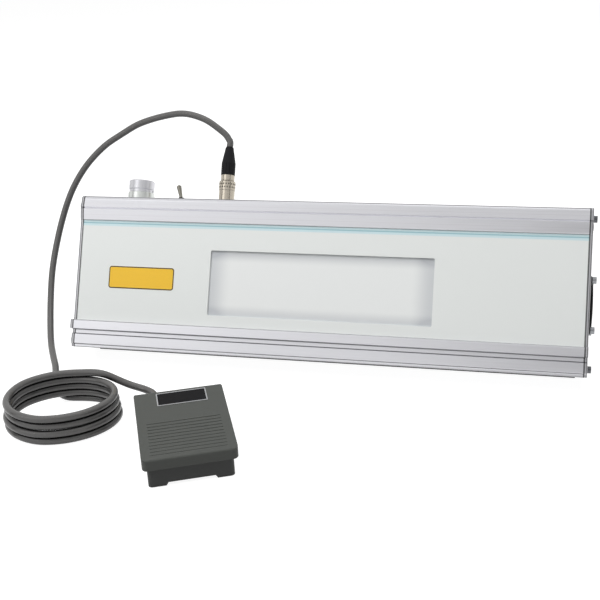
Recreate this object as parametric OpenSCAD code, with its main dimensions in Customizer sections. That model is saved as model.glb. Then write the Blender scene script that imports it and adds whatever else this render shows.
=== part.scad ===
// Tabletop film viewer: a leaning extruded case with a lit window, a dimmer knob and a lamp
// switch on top, a side fan, a fold-out rear stand, and a foot pedal on a coiled lead.

/* [Case] */
// Length of the case extrusions
case_len = 542; // [440:1:700]
// Height of the front face, measured up the slope
face_h = 168; // [160:1:230]
// Depth of the case behind the front panel
case_depth = 72; // [70:1:110]
// Angle at which the case leans back when it stands
lean = 26; // [22:0.5:30]
// Wall of the extrusions
wall = 2.2; // [1.8:0.1:3]
// Height of the top front rail
top_rail_h = 27; // [24:0.5:34]
// Height of the bottom front rail with its film ledge
bottom_rail_h = 30; // [29:0.5:36]
// How far the film ledge stands in front of the panel
ledge_out = 8; // [4:0.5:12]
// Thickness of the front and back panels
panel_t = 2; // [1.5:0.1:3]
// Thickness of the end plates
plate_t = 3; // [2:0.5:5]
// Width of the chamfer that the case stands on
foot_chamfer = 22; // [18:0.5:24]
// Thickness of the rubber strip under the chamfer
foot_t = 3; // [2:0.5:5]

/* [Window] */
// Width of the lit window
window_w = 240; // [160:1:300]
// Height of the panel below the window
window_low_gap = 12; // [8:0.5:20]
// Height of the panel above the window
window_high_gap = 29; // [25:0.5:36]
// Thickness of the opal diffuser
diffuser_t = 3; // [2:0.5:4]
// Depth of the light frame between diffuser and lamp board
light_depth = 16; // [12:0.5:20]
// Depth of the heat sink fins
fin_depth = 26; // [14:0.5:30]

/* [Controls] */
// Distance of the knob from the left end of the extrusions
knob_inset = 51.6; // [50:0.1:58]
// Diameter of the knob
knob_d = 28.7; // [24:0.1:32]
// Height of the knob above its collar
knob_h = 10.5; // [9:0.5:16]
// Distance of the toggle switch from the left end
toggle_inset = 100; // [94:1:106]
// Length of the toggle lever above its pivot
toggle_len = 16; // [12:0.5:18]
// Angle of the toggle lever off upright
toggle_tilt = 15; // [12:0.5:15]
// Distance of the pedal socket from the left end
socket_inset = 153; // [146:1:160]
// Outer diameter of the socket's coupling ring
ring_d = 18.4; // [17.5:0.1:20]

/* [Fan] */
// Side of the square fan frame
fan_side = 60; // [60:1:62]
// Thickness of the fan
fan_t = 25; // [20:1:30]
// Distance between the fan screws
fan_pitch = 50; // [48:0.5:52]
// Height of the fan's centre up the case
fan_z = 72; // [68:1:90]
// Bore of the fan frame
fan_bore = 57; // [52:0.5:57.5]

/* [Stand] */
// Height of the stand's pivot up the back
stand_z = 112; // [104:1:120]
// Angle of the stand's legs off upright
stand_angle = 27.6; // [26:0.2:29]
// Width of the stand between its legs
stand_w = 240; // [160:1:360]
// Diameter of the stand's round bar
stand_bar = 6; // [5:0.5:8]

/* [Pedal] */
// Width of the pedal tread
pedal_w = 85; // [80:0.5:100]
// Length of the pedal tread
pedal_len = 109; // [104:0.5:120]
// Height of the tread's front edge
pedal_front_h = 30; // [29:0.5:34]
// Height of the tread's rear edge
pedal_rear_h = 40; // [38:0.5:44]
// Depth of the tread's skirt
skirt_h = 10.5; // [9:0.5:12]
// Wall of the tread and of the pedal base
pedal_wall = 2.5; // [2:0.1:3]
// Gap between the base and the front edge of the tread
base_inset = 4; // [3.2:0.1:5]
// Angle that the tread presses down
tread_travel = 3; // [2:0.5:3]

/* [Cord] */
// Diameter of the pedal lead
cord_d = 7; // [6.8:0.1:7.2]
// Number of piled loops in the coil
coil_loops = 4; // [2:2:4]

/* [Hidden] */
$fn = 48;

// Clearances and small sizes shared by several pieces
seam = 0.15;
fit_gap = 0.3;
run_gap = 0.05;
over = 1;
far = 400;
arc_steps = 5;
hex_sides = 6;
steel = "silver";
aluminium = "gainsboro";
dark = "dimgray";

// Front contour of the case: ledge, groove and rail facets, as distances up the face
lip_h = 3.4;
lip_y = -1.2;
bead_h = 15.2;
bead_y = -2.8;
notch_h = 0.9;
notch_y = 1;
groove_top = 19.4;
groove_y = -0.8;
ledge_r = 1.6;
rail_y = -3;
rail_low_y = -1.4;
crease_h = 13.5;
crease_half = 1;
crease_y = 1.3;
rail_top_drop = 4.5;
rail_top_y = -1.6;
corner_r = 4;
rib_y = 4.6;
slot_deep = 6;

// Derived places of the leaning case
foot_rise = foot_chamfer * tan(lean);
foot_mid_y = case_depth - foot_chamfer / 2 + foot_t * sin(lean);
foot_mid_z = foot_rise / 2 - foot_t * cos(lean);
case_y = -(foot_mid_y * cos(lean) + foot_mid_z * sin(lean));
case_z = foot_mid_y * sin(lean) - foot_mid_z * cos(lean);
case_half = case_len / 2;
window_h = face_h - top_rail_h - bottom_rail_h - window_low_gap - window_high_gap;
window_z = bottom_rail_h + window_low_gap + window_h / 2;
knob_x = case_half - knob_inset;
toggle_x = case_half - toggle_inset;
socket_x = case_half - socket_inset;
mid_y = case_depth / 2;
mid_z = face_h / 2;
inner_back = case_depth - wall;

// Screw ports at the corners of the extrusions
port_r = 4;
port_hole_r = 2;
port_y = 8.2;
port_low_z = 8;
port_top_drop = 10.3;
port_rear_z = 24;
port_rear_y = inner_back - 3.6;
port_places = [
    [port_y, port_low_z], [port_y, face_h - port_top_drop],
    [port_rear_y, port_rear_z], [port_rear_y, face_h - port_top_drop]
];

// Socket cap screws: head, shank and socket
cap_r = 3.5;
cap_h = 4;
cap_shank_r = 1.95;
cap_shank_len = 11;
cap_hex_r = 1.7;
cap_hex_deep = 2.2;
cap_hole_r = 2.2;

// Small pan head screws
pan_r = 2.7;
pan_h = 1.9;
pan_shank_r = 1.45;
pan_shank_len = 6;
pan_hole_r = 1.5;
pan_slot_w = 0.8;
pan_slot_deep = 0.9;

function arc_pts(cy, cz, r, a0, a1) =
    [for (i = [0:arc_steps]) [cy + r * cos(a0 + (a1 - a0) * i / arc_steps),
        cz + r * sin(a0 + (a1 - a0) * i / arc_steps)]];

// Front contour of the bottom rail, from the case's bottom edge to the top of the ledge
bottom_front = concat(
    [[0, 0], [lip_y, notch_h], [lip_y, lip_h - notch_h], [bead_y + notch_y, lip_h],
        [bead_y, lip_h + notch_h]],
    [[bead_y, bead_h - notch_h], [groove_y, bead_h], [groove_y, groove_top],
        [-ledge_out, groove_top + notch_h]],
    arc_pts(ledge_r - ledge_out, bottom_rail_h - ledge_r, ledge_r, 180, 90)
);

// Front contour of the top rail, from the panel's top to the case's top edge
top_front = concat(
    [[rail_low_y + notch_y, face_h - top_rail_h], [rail_low_y, face_h - top_rail_h + notch_h]],
    [[rail_y, face_h - crease_h - crease_half], [rail_y + crease_y, face_h - crease_h]],
    [[rail_y, face_h - crease_h + crease_half], [rail_top_y, face_h - rail_top_drop]],
    arc_pts(rail_top_y + corner_r, face_h - corner_r, corner_r, 172, 90)
);
top_back = arc_pts(case_depth - corner_r, face_h - corner_r, corner_r, 90, 0);
bottom_back = [[case_depth, foot_rise], [case_depth - foot_chamfer, 0]];

// Places a piece drawn in the case's own frame: X along it, Y back from the panel, Z up the face
module in_case() {
    translate([0, case_y, case_z]) rotate([-lean, 0, 0]) children();
}

// Extrudes an outline drawn in depth and height along the case's length
module along_case(len, x0) {
    translate([x0, 0, 0]) rotate([90, 0, 90]) linear_extrude(len) children();
}

// Turns a piece drawn along +Z so that it points along +X
module along_x() {
    rotate([0, 90, 0]) children();
}

module tube(r_out, r_in, len) {
    difference() {
        cylinder(h = len, r = r_out);
        translate([0, 0, -over]) cylinder(h = len + 2 * over, r = r_in);
    }
}

// A socket cap screw standing on the plane Z = 0, its shank below
module cap_screw(shank = cap_shank_len) {
    difference() {
        cylinder(h = cap_h, r = cap_r);
        translate([0, 0, cap_h - cap_hex_deep])
            cylinder(h = cap_hex_deep + over, r = cap_hex_r, $fn = hex_sides);
    }
    translate([0, 0, -shank]) cylinder(h = shank, r = cap_shank_r);
}

// A slotted pan head screw standing on the plane Z = 0
module pan_screw(shank = pan_shank_len) {
    difference() {
        cylinder(h = pan_h, r = pan_r);
        translate([-pan_r - over, -pan_slot_w / 2, pan_h - pan_slot_deep])
            cube([2 * (pan_r + over), pan_slot_w, pan_slot_deep + over]);
    }
    translate([0, 0, -shank]) cylinder(h = shank, r = pan_shank_r);
}

// Screw ports along an extrusion, and their bores
module ports(places) {
    for (p = places) along_case(case_len, -case_half) translate(p) circle(r = port_r);
}

module port_holes(places) {
    for (p = places) along_case(far * 2, -far) translate(p) circle(r = port_hole_r);
}

// Top extrusion: front rail, top wall and back lip in one section
module top_section() {
    inner_top = face_h - wall;
    difference() {
        polygon(concat(top_front, top_back,
            [[case_depth, face_h - top_rail_h], [rib_y, face_h - top_rail_h]]));
        translate([rib_y, face_h - top_rail_h - over])
            square([inner_back - rib_y, inner_top - face_h + top_rail_h + over]);
        translate([-seam, face_h - top_rail_h - over]) square([panel_t + 2 * seam, slot_deep + over]);
    }
}

knob_hole_r = 4.6;
toggle_hole_r = 3.3;
socket_hole_r = 8.1;
driver_screw_inset = 46;
driver_screw_x = case_half - driver_screw_inset;

module top_extrusion() {
    color(aluminium) in_case() difference() {
        union() {
            along_case(case_len, -case_half) top_section();
            ports([port_places[1], port_places[3]]);
        }
        port_holes([port_places[1], port_places[3]]);
        for (h = [[-knob_x, knob_hole_r], [-toggle_x, toggle_hole_r], [-socket_x, socket_hole_r],
            [driver_screw_x, pan_hole_r]])
            translate([h[0], mid_y, face_h - wall - over]) cylinder(h = wall + 2 * over, r = h[1]);
        face_holes(inner_back, wall, [for (p = back_places) if (p[1] > mid_z) p], pan_hole_r);
    }
}

// Bottom extrusion: film ledge, bottom wall, foot chamfer and back lip
module bottom_section() {
    difference() {
        polygon(concat(bottom_front, [[rib_y, bottom_rail_h], [case_depth, bottom_rail_h]], bottom_back));
        polygon([
            [rib_y, wall], [case_depth - foot_chamfer - wall * tan(lean / 2), wall],
            [inner_back, foot_rise + wall * (1 / cos(lean) - tan(lean))],
            [inner_back, bottom_rail_h + over], [rib_y, bottom_rail_h + over]
        ]);
        translate([-seam, bottom_rail_h - slot_deep]) square([panel_t + 2 * seam, slot_deep + over]);
    }
}

module bottom_extrusion() {
    color(aluminium) in_case() difference() {
        union() {
            along_case(case_len, -case_half) bottom_section();
            ports([port_places[0], port_places[2]]);
        }
        port_holes([port_places[0], port_places[2]]);
        face_holes(inner_back, wall, [for (p = back_places) if (p[1] < mid_z) p], pan_hole_r);
    }
}

foot_strip_w = 18;
foot_inset = 6;
// Rubber strip that the case stands on, flat on the ground
module foot_strip() {
    color(dark) translate([foot_inset - case_half, -foot_strip_w / 2, 0])
        cube([case_len - 2 * foot_inset, foot_strip_w, foot_t]);
}

// Panels: the front one slides in the rails' slots, the back one is screwed onto the back lips
panel_low = bottom_rail_h - slot_deep + fit_gap;
panel_high = face_h - top_rail_h + slot_deep - fit_gap;
window_r = 1.5;
back_screw_margin = 3;
back_edge_margin = 3.5;
back_screw_low = port_rear_z - port_r - back_screw_margin;
back_screw_high = face_h - port_top_drop - port_r - back_screw_margin - pan_r;
back_edge_low = back_screw_low - back_edge_margin;
back_edge_high = back_screw_high + back_edge_margin;
back_screw_count = 5;
back_screw_pitch = (case_len - 4 * port_r) / back_screw_count;
back_screw_xs = [for (i = [0:back_screw_count - 1]) (i - (back_screw_count - 1) / 2) * back_screw_pitch];
back_face_y = case_depth + panel_t;
louvre_count = 9;
louvre_rows = 3;
louvre_w = 20;
louvre_h = 3;
louvre_pitch = 26;
louvre_row_pitch = 9;

// Outline of a rectangle with round corners, centred
module rounded_rect(w, h, r) {
    union() {
        square([w - 2 * r, h], center = true);
        square([w, h - 2 * r], center = true);
        for (sx = [-1, 1], sy = [-1, 1]) translate([sx * (w / 2 - r), sy * (h / 2 - r)]) circle(r = r);
    }
}

// Stands a flat outline, drawn in X and up the face, at a depth behind the panel's front
module on_face(y0, t) {
    translate([0, y0 + t, 0]) rotate([90, 0, 0]) linear_extrude(t) children();
}

// Holes through a panel that lies at a depth, each a radius at a place on the face
module face_holes(y0, t, places, r) {
    for (p = places) translate([p[0], y0 - over, p[1]]) rotate([-90, 0, 0])
        cylinder(h = t + 2 * over, r = r);
}

// Turns a screw drawn standing up so that its head faces the back, on the plane at depth y0
module back_screws(y0, places, shank) {
    for (p = places) translate([p[0], y0, p[1]]) rotate([-90, 0, 0]) pan_screw(shank);
}

module front_panel() {
    color("whitesmoke") in_case() on_face(0, panel_t) difference() {
        translate([-case_half, panel_low]) square([case_len, panel_high - panel_low]);
        translate([0, window_z]) rounded_rect(window_w, window_h, window_r);
    }
}

back_places = [for (x = back_screw_xs, z = [back_screw_low, back_screw_high]) [x, z]];

module back_panel() {
    color("darkgray") in_case() difference() {
        on_face(case_depth, panel_t) difference() {
            translate([fit_gap - case_half, back_edge_low])
                square([case_len - 2 * fit_gap, back_edge_high - back_edge_low]);
            for (i = [0:louvre_count - 1], j = [0:louvre_rows - 1])
                translate([(i - (louvre_count - 1) / 2) * louvre_pitch,
                    window_z + (j - (louvre_rows - 1) / 2) * louvre_row_pitch])
                    rounded_rect(louvre_w, louvre_h, louvre_h / 2 - seam);
        }
        face_holes(case_depth, panel_t, back_places, pan_hole_r);
        face_holes(case_depth, panel_t, stand_screw_places, pan_hole_r);
        face_holes(case_depth, panel_t, lamp_screw_places, pan_hole_r);
    }
}

module back_panel_screws() {
    color(steel) in_case() back_screws(back_face_y, concat(back_places, lamp_screw_places), panel_t + wall);
}

// Lamp: diffuser, frame, board and finned heat sink, stacked behind the window
diffuser_lap = 6;
frame_lap = 8;
frame_lip = 1.5;
board_t = 1.6;
led_side = 3;
led_h = 0.8;
led_cols = 14;
led_rows = 4;
sink_base_t = 4;
sink_over = 6;
fin_t = 1.6;
fin_count = 11;
frame_y = panel_t + diffuser_t;
board_y = frame_y + light_depth;
sink_y = board_y + board_t;
sink_w = window_w + 2 * frame_lap;
sink_h = window_h + 2 * (frame_lap + sink_over);
fin_tip_y = sink_y + sink_base_t + fin_depth;

module window_diffuser() {
    color("white") in_case() on_face(panel_t, diffuser_t) translate([0, window_z])
        square([window_w + 2 * diffuser_lap, window_h + 2 * diffuser_lap], center = true);
}

module light_frame() {
    color("white") in_case() on_face(frame_y, light_depth) translate([0, window_z]) difference() {
        square([window_w + 2 * frame_lap, window_h + 2 * frame_lap], center = true);
        square([window_w + 2 * frame_lip, window_h + 2 * frame_lip], center = true);
    }
}

module led_board() {
    color("white") in_case() union() {
        on_face(board_y, board_t) translate([0, window_z])
            square([window_w + 2 * frame_lap, window_h + 2 * frame_lap], center = true);
        for (i = [0:led_cols - 1], j = [0:led_rows - 1])
            translate([(i + 1 / 2) * window_w / led_cols - window_w / 2 - led_side / 2, board_y - led_h,
                window_z + (j + 1 / 2) * window_h / led_rows - window_h / 2 - led_side / 2])
                cube([led_side, led_h + seam, led_side]);
    }
}

module heat_sink() {
    color(aluminium) in_case() union() {
        on_face(sink_y, sink_base_t) translate([0, window_z]) square([sink_w, sink_h], center = true);
        for (i = [0:fin_count - 1])
            translate([-sink_w / 2, sink_y, window_z - sink_h / 2 + i * (sink_h - fin_t) / (fin_count - 1)])
                cube([sink_w, sink_base_t + fin_depth, fin_t]);
    }
}

bracket_w = 14;
bracket_t = 2;
bracket_flange = 12;
lamp_bracket_h = sink_h - 2 * bracket_flange;
lamp_bracket_x = sink_w / 2 - bracket_w;
lamp_screw_places = [for (s = [-1, 1], z = [-1, 1]) [s * (lamp_bracket_x - bracket_flange / 2),
    window_z + z * lamp_bracket_h / 3]];

// Two channels that carry the heat sink on the back panel
module lamp_brackets() {
    color(aluminium) in_case() difference() {
        for (s = [-1, 1]) translate([s * lamp_bracket_x, 0, window_z - lamp_bracket_h / 2]) union() {
            translate([s < 0 ? 0 : -bracket_w, fin_tip_y, 0]) cube([bracket_w, bracket_t, lamp_bracket_h]);
            translate([s < 0 ? 0 : -bracket_w, case_depth - bracket_t, 0])
                cube([bracket_w, bracket_t, lamp_bracket_h]);
            translate([s < 0 ? 0 : -bracket_t, fin_tip_y, 0])
                cube([bracket_t, case_depth - fin_tip_y, lamp_bracket_h]);
        }
        face_holes(case_depth - bracket_t, bracket_t, lamp_screw_places, pan_hole_r);
    }
}

// End plates: their outline follows the extrusions and closes over the panel
module end_outline() {
    polygon(concat(bottom_front, [[0, bottom_rail_h], [0, face_h - top_rail_h]], top_front, top_back,
        bottom_back));
}

// Holes through an end plate, at places in depth and height
module end_holes(places, r) {
    for (p = places) translate(p) circle(r = r);
}

inlet_z = 50;
inlet_w = 19.6;
inlet_h = 27.4;
inlet_depth = 22;
inlet_flange_w = 23;
inlet_flange_h = 49;
inlet_flange_t = 2.5;
inlet_screw_pitch = 40;
inlet_screw_places = [for (s = [-1, 1]) [mid_y, inlet_z + s * inlet_screw_pitch / 2]];
inlet_recess_w = 16.4;
inlet_recess_h = 24.2;
inlet_recess_deep = 17;
inlet_chamfer = 4.5;
inlet_pin = [4, 2, 11];
inlet_pin_pitch = 7;
inlet_pin_shift = 2;
vent_count = 7;
vent_w = 3;
vent_len = 56;
vent_pitch = 7;
vent_z = 116;
fan_places = [for (sy = [-1, 1], sz = [-1, 1]) [mid_y + sy * fan_pitch / 2, fan_z + sz * fan_pitch / 2]];

module left_end_plate() {
    color(aluminium) in_case() along_case(plate_t, -case_half - plate_t) difference() {
        end_outline();
        end_holes(port_places, cap_hole_r);
        end_holes(inlet_screw_places, pan_hole_r);
        translate([mid_y, inlet_z]) square([inlet_w + 2 * seam, inlet_h + 2 * seam], center = true);
        for (i = [0:vent_count - 1])
            translate([mid_y + (i - (vent_count - 1) / 2) * vent_pitch, vent_z])
                rounded_rect(vent_w, vent_len, vent_w / 2 - seam);
    }
}

module right_end_plate() {
    color(aluminium) in_case() along_case(plate_t, case_half) difference() {
        end_outline();
        end_holes(port_places, cap_hole_r);
        end_holes(fan_places, cap_hole_r);
        translate([mid_y, fan_z]) circle(r = fan_bore / 2);
    }
}

module left_end_screws() {
    color(steel) in_case() for (p = port_places)
        translate([-case_half - plate_t, p[0], p[1]]) mirror([1, 0, 0]) along_x() cap_screw();
}

module right_end_screws() {
    color(steel) in_case() for (p = port_places)
        translate([case_half + plate_t, p[0], p[1]]) along_x() cap_screw();
}

// Fan: a frame on the inside of the right end plate, a rotor on its hub and a wire guard outside
fan_corner_r = 4;
fan_hole_r = 2.1;
fan_hub_r = 14;
fan_rotor_r = 13.6;
fan_post_r = 2;
fan_post_hole_r = 2.06;
fan_strut_w = 3;
fan_strut_t = 3;
blade_count = 7;
blade_t = 1.4;
blade_pitch = 38;
blade_gap = 1.2;
blade_len = fan_bore / 2 - blade_gap - fan_rotor_r;
blade_chord = 19;
wire_r = 0.9;
guard_rings = 4;
guard_pitch = 6.6;
guard_first_r = 7.4;
guard_loop_r = 3.2;
guard_rise = 1.5;

// Places a piece drawn round +Z, standing on Z = 0, on the right end plate, its +Z outward
module at_fan(x0) {
    in_case() translate([x0, mid_y, fan_z]) along_x() children();
}

module fan_frame() {
    color(dark) at_fan(case_half - fan_t) difference() {
        union() {
            difference() {
                linear_extrude(fan_t) rounded_rect(fan_side, fan_side, fan_corner_r);
                translate([0, 0, -over]) cylinder(h = fan_t + 2 * over, r = fan_bore / 2);
            }
            cylinder(h = fan_strut_t, r = fan_hub_r);
            for (a = [0:3]) rotate(45 + a * 90) translate([0, -fan_strut_w / 2, 0])
                cube([fan_bore / 2 + over, fan_strut_w, fan_strut_t]);
        }
        for (sx = [-1, 1], sy = [-1, 1])
            translate([sx * fan_pitch / 2, sy * fan_pitch / 2, -over])
                cylinder(h = fan_t + 2 * over, r = fan_hole_r);
        translate([0, 0, fan_strut_t / 2]) cylinder(h = fan_strut_t, r = fan_post_hole_r);
    }
}

module fan_rotor() {
    rotor_z = fan_strut_t + fit_gap;
    rotor_h = fan_t - rotor_z - 2 * fit_gap;
    color("black") at_fan(case_half - fan_t) union() {
        translate([0, 0, rotor_z]) cylinder(h = rotor_h, r = fan_rotor_r);
        translate([0, 0, fan_strut_t / 2 + fit_gap]) cylinder(h = fan_strut_t, r = fan_post_r);
        for (i = [0:blade_count - 1]) rotate(i * 360 / blade_count) intersection() {
            translate([fan_rotor_r - over, 0, rotor_z + rotor_h / 2]) rotate([blade_pitch, 0, 0])
                cube([2 * (blade_len + over), blade_chord, blade_t], center = true);
            translate([0, 0, rotor_z]) cylinder(h = rotor_h, r = fan_rotor_r + blade_len);
        }
    }
}

module wire_ring(r) {
    rotate_extrude() translate([r, 0]) circle(r = wire_r, $fn = 16);
}

module fan_guard() {
    color("black") at_fan(case_half + plate_t) union() {
        for (i = [0:guard_rings - 1]) translate([0, 0, wire_r + guard_rise])
            wire_ring(guard_first_r + i * guard_pitch);
        for (sx = [-1, 1], sy = [-1, 1])
            translate([sx * fan_pitch / 2, sy * fan_pitch / 2, wire_r]) wire_ring(guard_loop_r);
        for (a = [0:3]) rotate(45 + a * 90) translate([guard_first_r - wire_r, 0, wire_r])
            rotate([0, 90, 0]) cylinder(h = fan_pitch / sqrt(2) - guard_loop_r - guard_first_r + wire_r,
                r = wire_r, $fn = 16);
    }
}

module fan_screws() {
    color(steel) in_case() for (p = fan_places)
        translate([case_half + plate_t + 2 * wire_r, p[0], p[1]]) along_x() cap_screw();
}

// Mains inlet in the left end plate: flanged body with a recess and three blades
module mains_inlet() {
    color("black") in_case() translate([-case_half - plate_t, mid_y, inlet_z]) rotate([0, -90, 0]) union() {
        difference() {
            union() {
                linear_extrude(inlet_flange_t) difference() {
                    rounded_rect(inlet_flange_h, inlet_flange_w, inlet_chamfer);
                    for (s = [-1, 1]) translate([s * inlet_screw_pitch / 2, 0]) circle(r = pan_hole_r);
                }
                translate([0, 0, -inlet_depth]) linear_extrude(inlet_depth + seam)
                    square([inlet_h, inlet_w], center = true);
            }
            translate([0, 0, inlet_flange_t - inlet_recess_deep]) linear_extrude(inlet_recess_deep + over)
                polygon([
                [-inlet_recess_h / 2 + inlet_chamfer, -inlet_recess_w / 2],
                    [inlet_recess_h / 2 - inlet_chamfer, -inlet_recess_w / 2],
                [inlet_recess_h / 2, inlet_chamfer - inlet_recess_w / 2],
                    [inlet_recess_h / 2, inlet_recess_w / 2],
                [-inlet_recess_h / 2, inlet_recess_w / 2],
                    [-inlet_recess_h / 2, inlet_chamfer - inlet_recess_w / 2]
            ]);
        }
        for (i = [-1:1]) translate([i * inlet_pin_pitch - inlet_pin[1] / 2,
            (i == 0 ? -1 : 1) * inlet_pin_shift - inlet_pin[0] / 2,
            inlet_flange_t - inlet_recess_deep - seam]) cube([inlet_pin[1], inlet_pin[0], inlet_pin[2]]);
    }
}

module inlet_screws() {
    color(steel) in_case() for (p = inlet_screw_places)
        translate([-case_half - plate_t - inlet_flange_t, p[0], p[1]]) mirror([1, 0, 0]) along_x()
            pan_screw();
}

// Lamp driver: a bracket hung from the top wall by one screw, and the board on its back
driver_w = 78;
driver_h = 96;
driver_t = 2;
driver_flange = 26;
driver_gap = 5;
driver_post_r = 2.5;
driver_margin = 5;
driver_x = driver_screw_x - driver_w + driver_flange / 2;
driver_top = face_h - wall;
driver_y = mid_y - driver_flange / 2;

module driver_bracket() {
    color(aluminium) in_case() difference() {
        union() {
            translate([driver_x, driver_y, driver_top - driver_h]) cube([driver_w, driver_t, driver_h]);
            translate([driver_screw_x - driver_flange / 2, driver_y, driver_top - driver_t])
                cube([driver_flange, driver_flange, driver_t]);
        }
        translate([driver_screw_x, mid_y, driver_top - driver_t - over])
            cylinder(h = driver_t + 2 * over, r = pan_hole_r);
    }
}

// Places and sizes of the board's parts as shares of its width and height, and their heights
driver_part_share = [
    [0.08, 0.62, 0.34, 0.3], [0.5, 0.66, 0.42, 0.24], [0.1, 0.3, 0.22, 0.2],
    [0.42, 0.34, 0.5, 0.12], [0.3, 0.08, 0.4, 0.12]
];
driver_part_h = [20, 14, 16, 9, 11];
driver_clear_h = 22;

module driver_board() {
    board_w = driver_w - 2 * driver_margin;
    board_h = driver_h - driver_clear_h - driver_margin;
    board_z = driver_top - driver_h + driver_margin;
    y0 = driver_y + driver_t + driver_gap;
    color("darkgreen") in_case() translate([driver_x + driver_margin, 0, board_z]) union() {
        translate([0, y0, 0]) cube([board_w, board_t, board_h]);
        for (px = [driver_margin, board_w - driver_margin], pz = [driver_margin, board_h - driver_margin])
            translate([px, driver_y + driver_t, pz]) rotate([-90, 0, 0])
                cylinder(h = driver_gap + seam, r = driver_post_r);
        for (i = [0:len(driver_part_h) - 1])
            let (p = driver_part_share[i])
            translate([p[0] * board_w, y0, p[1] * board_h])
                cube([p[2] * board_w, board_t + driver_part_h[i], p[3] * board_h]);
    }
}

module driver_screw() {
    color(steel) in_case() translate([driver_screw_x, mid_y, face_h]) pan_screw();
}

// Dimmer: potentiometer under the top wall, nut, shaft and knob with its collar
pot_r = 12;
pot_h = 11;
pot_bush_r = 4.5;
pot_bush_h = 5.5;
shaft_r = 3;
shaft_deep = 8;
nut_r = 7.2;
nut_t = 2.2;
knob_gap = 1.4;
collar_h = 9;
collar_extra = 0.6;
collar_bore_r = 8.5;
knob_groove_h = 2.8;
knob_groove_in = 0.6;
knob_edge = 0.8;
knob_bore_deep = 9;
grub_r = 1.2;
grub_len = 5;
shaft_top = knob_gap + collar_h + knob_bore_deep - fit_gap;

// Places a piece drawn up +Z, standing on the top wall, at a distance along the case
module on_top(x) {
    in_case() translate([x, mid_y, face_h]) children();
}

module dimmer_body() {
    color(dark) on_top(-knob_x) difference() {
        union() {
            translate([0, 0, -wall - pot_h]) cylinder(h = pot_h, r = pot_r);
            translate([0, 0, -wall - seam]) cylinder(h = wall + pot_bush_h + seam, r = pot_bush_r);
        }
        translate([0, 0, -wall - shaft_deep - fit_gap]) cylinder(h = far, r = shaft_r + run_gap);
    }
}

module dimmer_nut() {
    color(steel) on_top(-knob_x) difference() {
        cylinder(h = nut_t, r = nut_r, $fn = hex_sides);
        translate([0, 0, -over]) cylinder(h = nut_t + 2 * over, r = pot_bush_r + run_gap);
    }
}

module knob_shaft() {
    color(steel) on_top(-knob_x) translate([0, 0, -wall - shaft_deep])
        cylinder(h = wall + shaft_deep + shaft_top, r = shaft_r);
}

module knob_collar() {
    collar_r = knob_d / 2 + collar_extra;
    color("whitesmoke") on_top(-knob_x) translate([0, 0, knob_gap]) rotate_extrude() polygon([
        [collar_bore_r, 0], [collar_r, 0], [collar_r, collar_h - knob_edge],
            [collar_r - knob_edge, collar_h],
        [shaft_r + run_gap, collar_h], [shaft_r + run_gap, pot_bush_h], [collar_bore_r, pot_bush_h]
    ]);
}

module brightness_knob() {
    r = knob_d / 2;
    top = knob_groove_h + knob_h;
    color(aluminium) on_top(-knob_x) translate([0, 0, knob_gap + collar_h]) difference() {
        rotate_extrude() polygon([
            [0, knob_bore_deep], [shaft_r + run_gap, knob_bore_deep], [shaft_r + run_gap, 0],
                [r - knob_groove_in, 0],
            [r - knob_groove_in, knob_groove_h], [r, knob_groove_h + knob_edge], [r, top - knob_edge],
                [r - knob_edge, top], [0, top]
        ]);
        translate([shaft_r, 0, knob_groove_h / 2]) along_x() cylinder(h = r, r = grub_r);
    }
}

module knob_grub_screw() {
    grub_z = knob_gap + collar_h + knob_groove_h / 2;
    color(dark) on_top(-knob_x) translate([shaft_r + fit_gap, 0, grub_z]) along_x()
        cylinder(h = grub_len, r = grub_r - run_gap);
}

// Lamp switch: body under the wall, bushing and nut above it, bat lever on a ball
toggle_body_w = 8;
toggle_body_len = 13;
toggle_body_h = 10;
toggle_bush_r = 3.2;
toggle_bush_h = 6;
toggle_bore_r = 2.6;
toggle_ball_r = 2.2;
toggle_pivot = 4.5;
toggle_root_r = 1.6;
toggle_tip_r = 2.8;
toggle_pin_r = 0.7;
toggle_pin_len = 4.9;
toggle_nut_r = 4.8;
toggle_nut_t = 2;

module toggle_body() {
    color(dark) on_top(-toggle_x) difference() {
        union() {
            translate([-toggle_body_len / 2, -toggle_body_w / 2, -wall - toggle_body_h])
                cube([toggle_body_len, toggle_body_w, toggle_body_h]);
            translate([0, 0, -wall - seam]) cylinder(h = wall + toggle_bush_h + seam, r = toggle_bush_r);
        }
        translate([0, 0, toggle_pivot - toggle_ball_r - fit_gap]) cylinder(h = far, r = toggle_bore_r);
    }
}

module toggle_nut() {
    color(steel) on_top(-toggle_x) difference() {
        cylinder(h = toggle_nut_t, r = toggle_nut_r, $fn = hex_sides);
        translate([0, 0, -over]) cylinder(h = toggle_nut_t + 2 * over, r = toggle_bush_r + run_gap);
    }
}

module toggle_lever() {
    color(steel) on_top(-toggle_x) translate([0, 0, toggle_pivot]) rotate([0, -toggle_tilt, 0]) union() {
        sphere(r = toggle_ball_r);
        translate([0, toggle_pin_len / 2, 0]) rotate([90, 0, 0])
            cylinder(h = toggle_pin_len, r = toggle_pin_r);
        cylinder(h = toggle_len - toggle_tip_r / 2, r1 = toggle_root_r, r2 = toggle_tip_r);
        translate([0, 0, toggle_len - toggle_tip_r / 2])
            cylinder(h = toggle_tip_r / 2, r1 = toggle_tip_r, r2 = toggle_tip_r / 2);
    }
}

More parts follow.
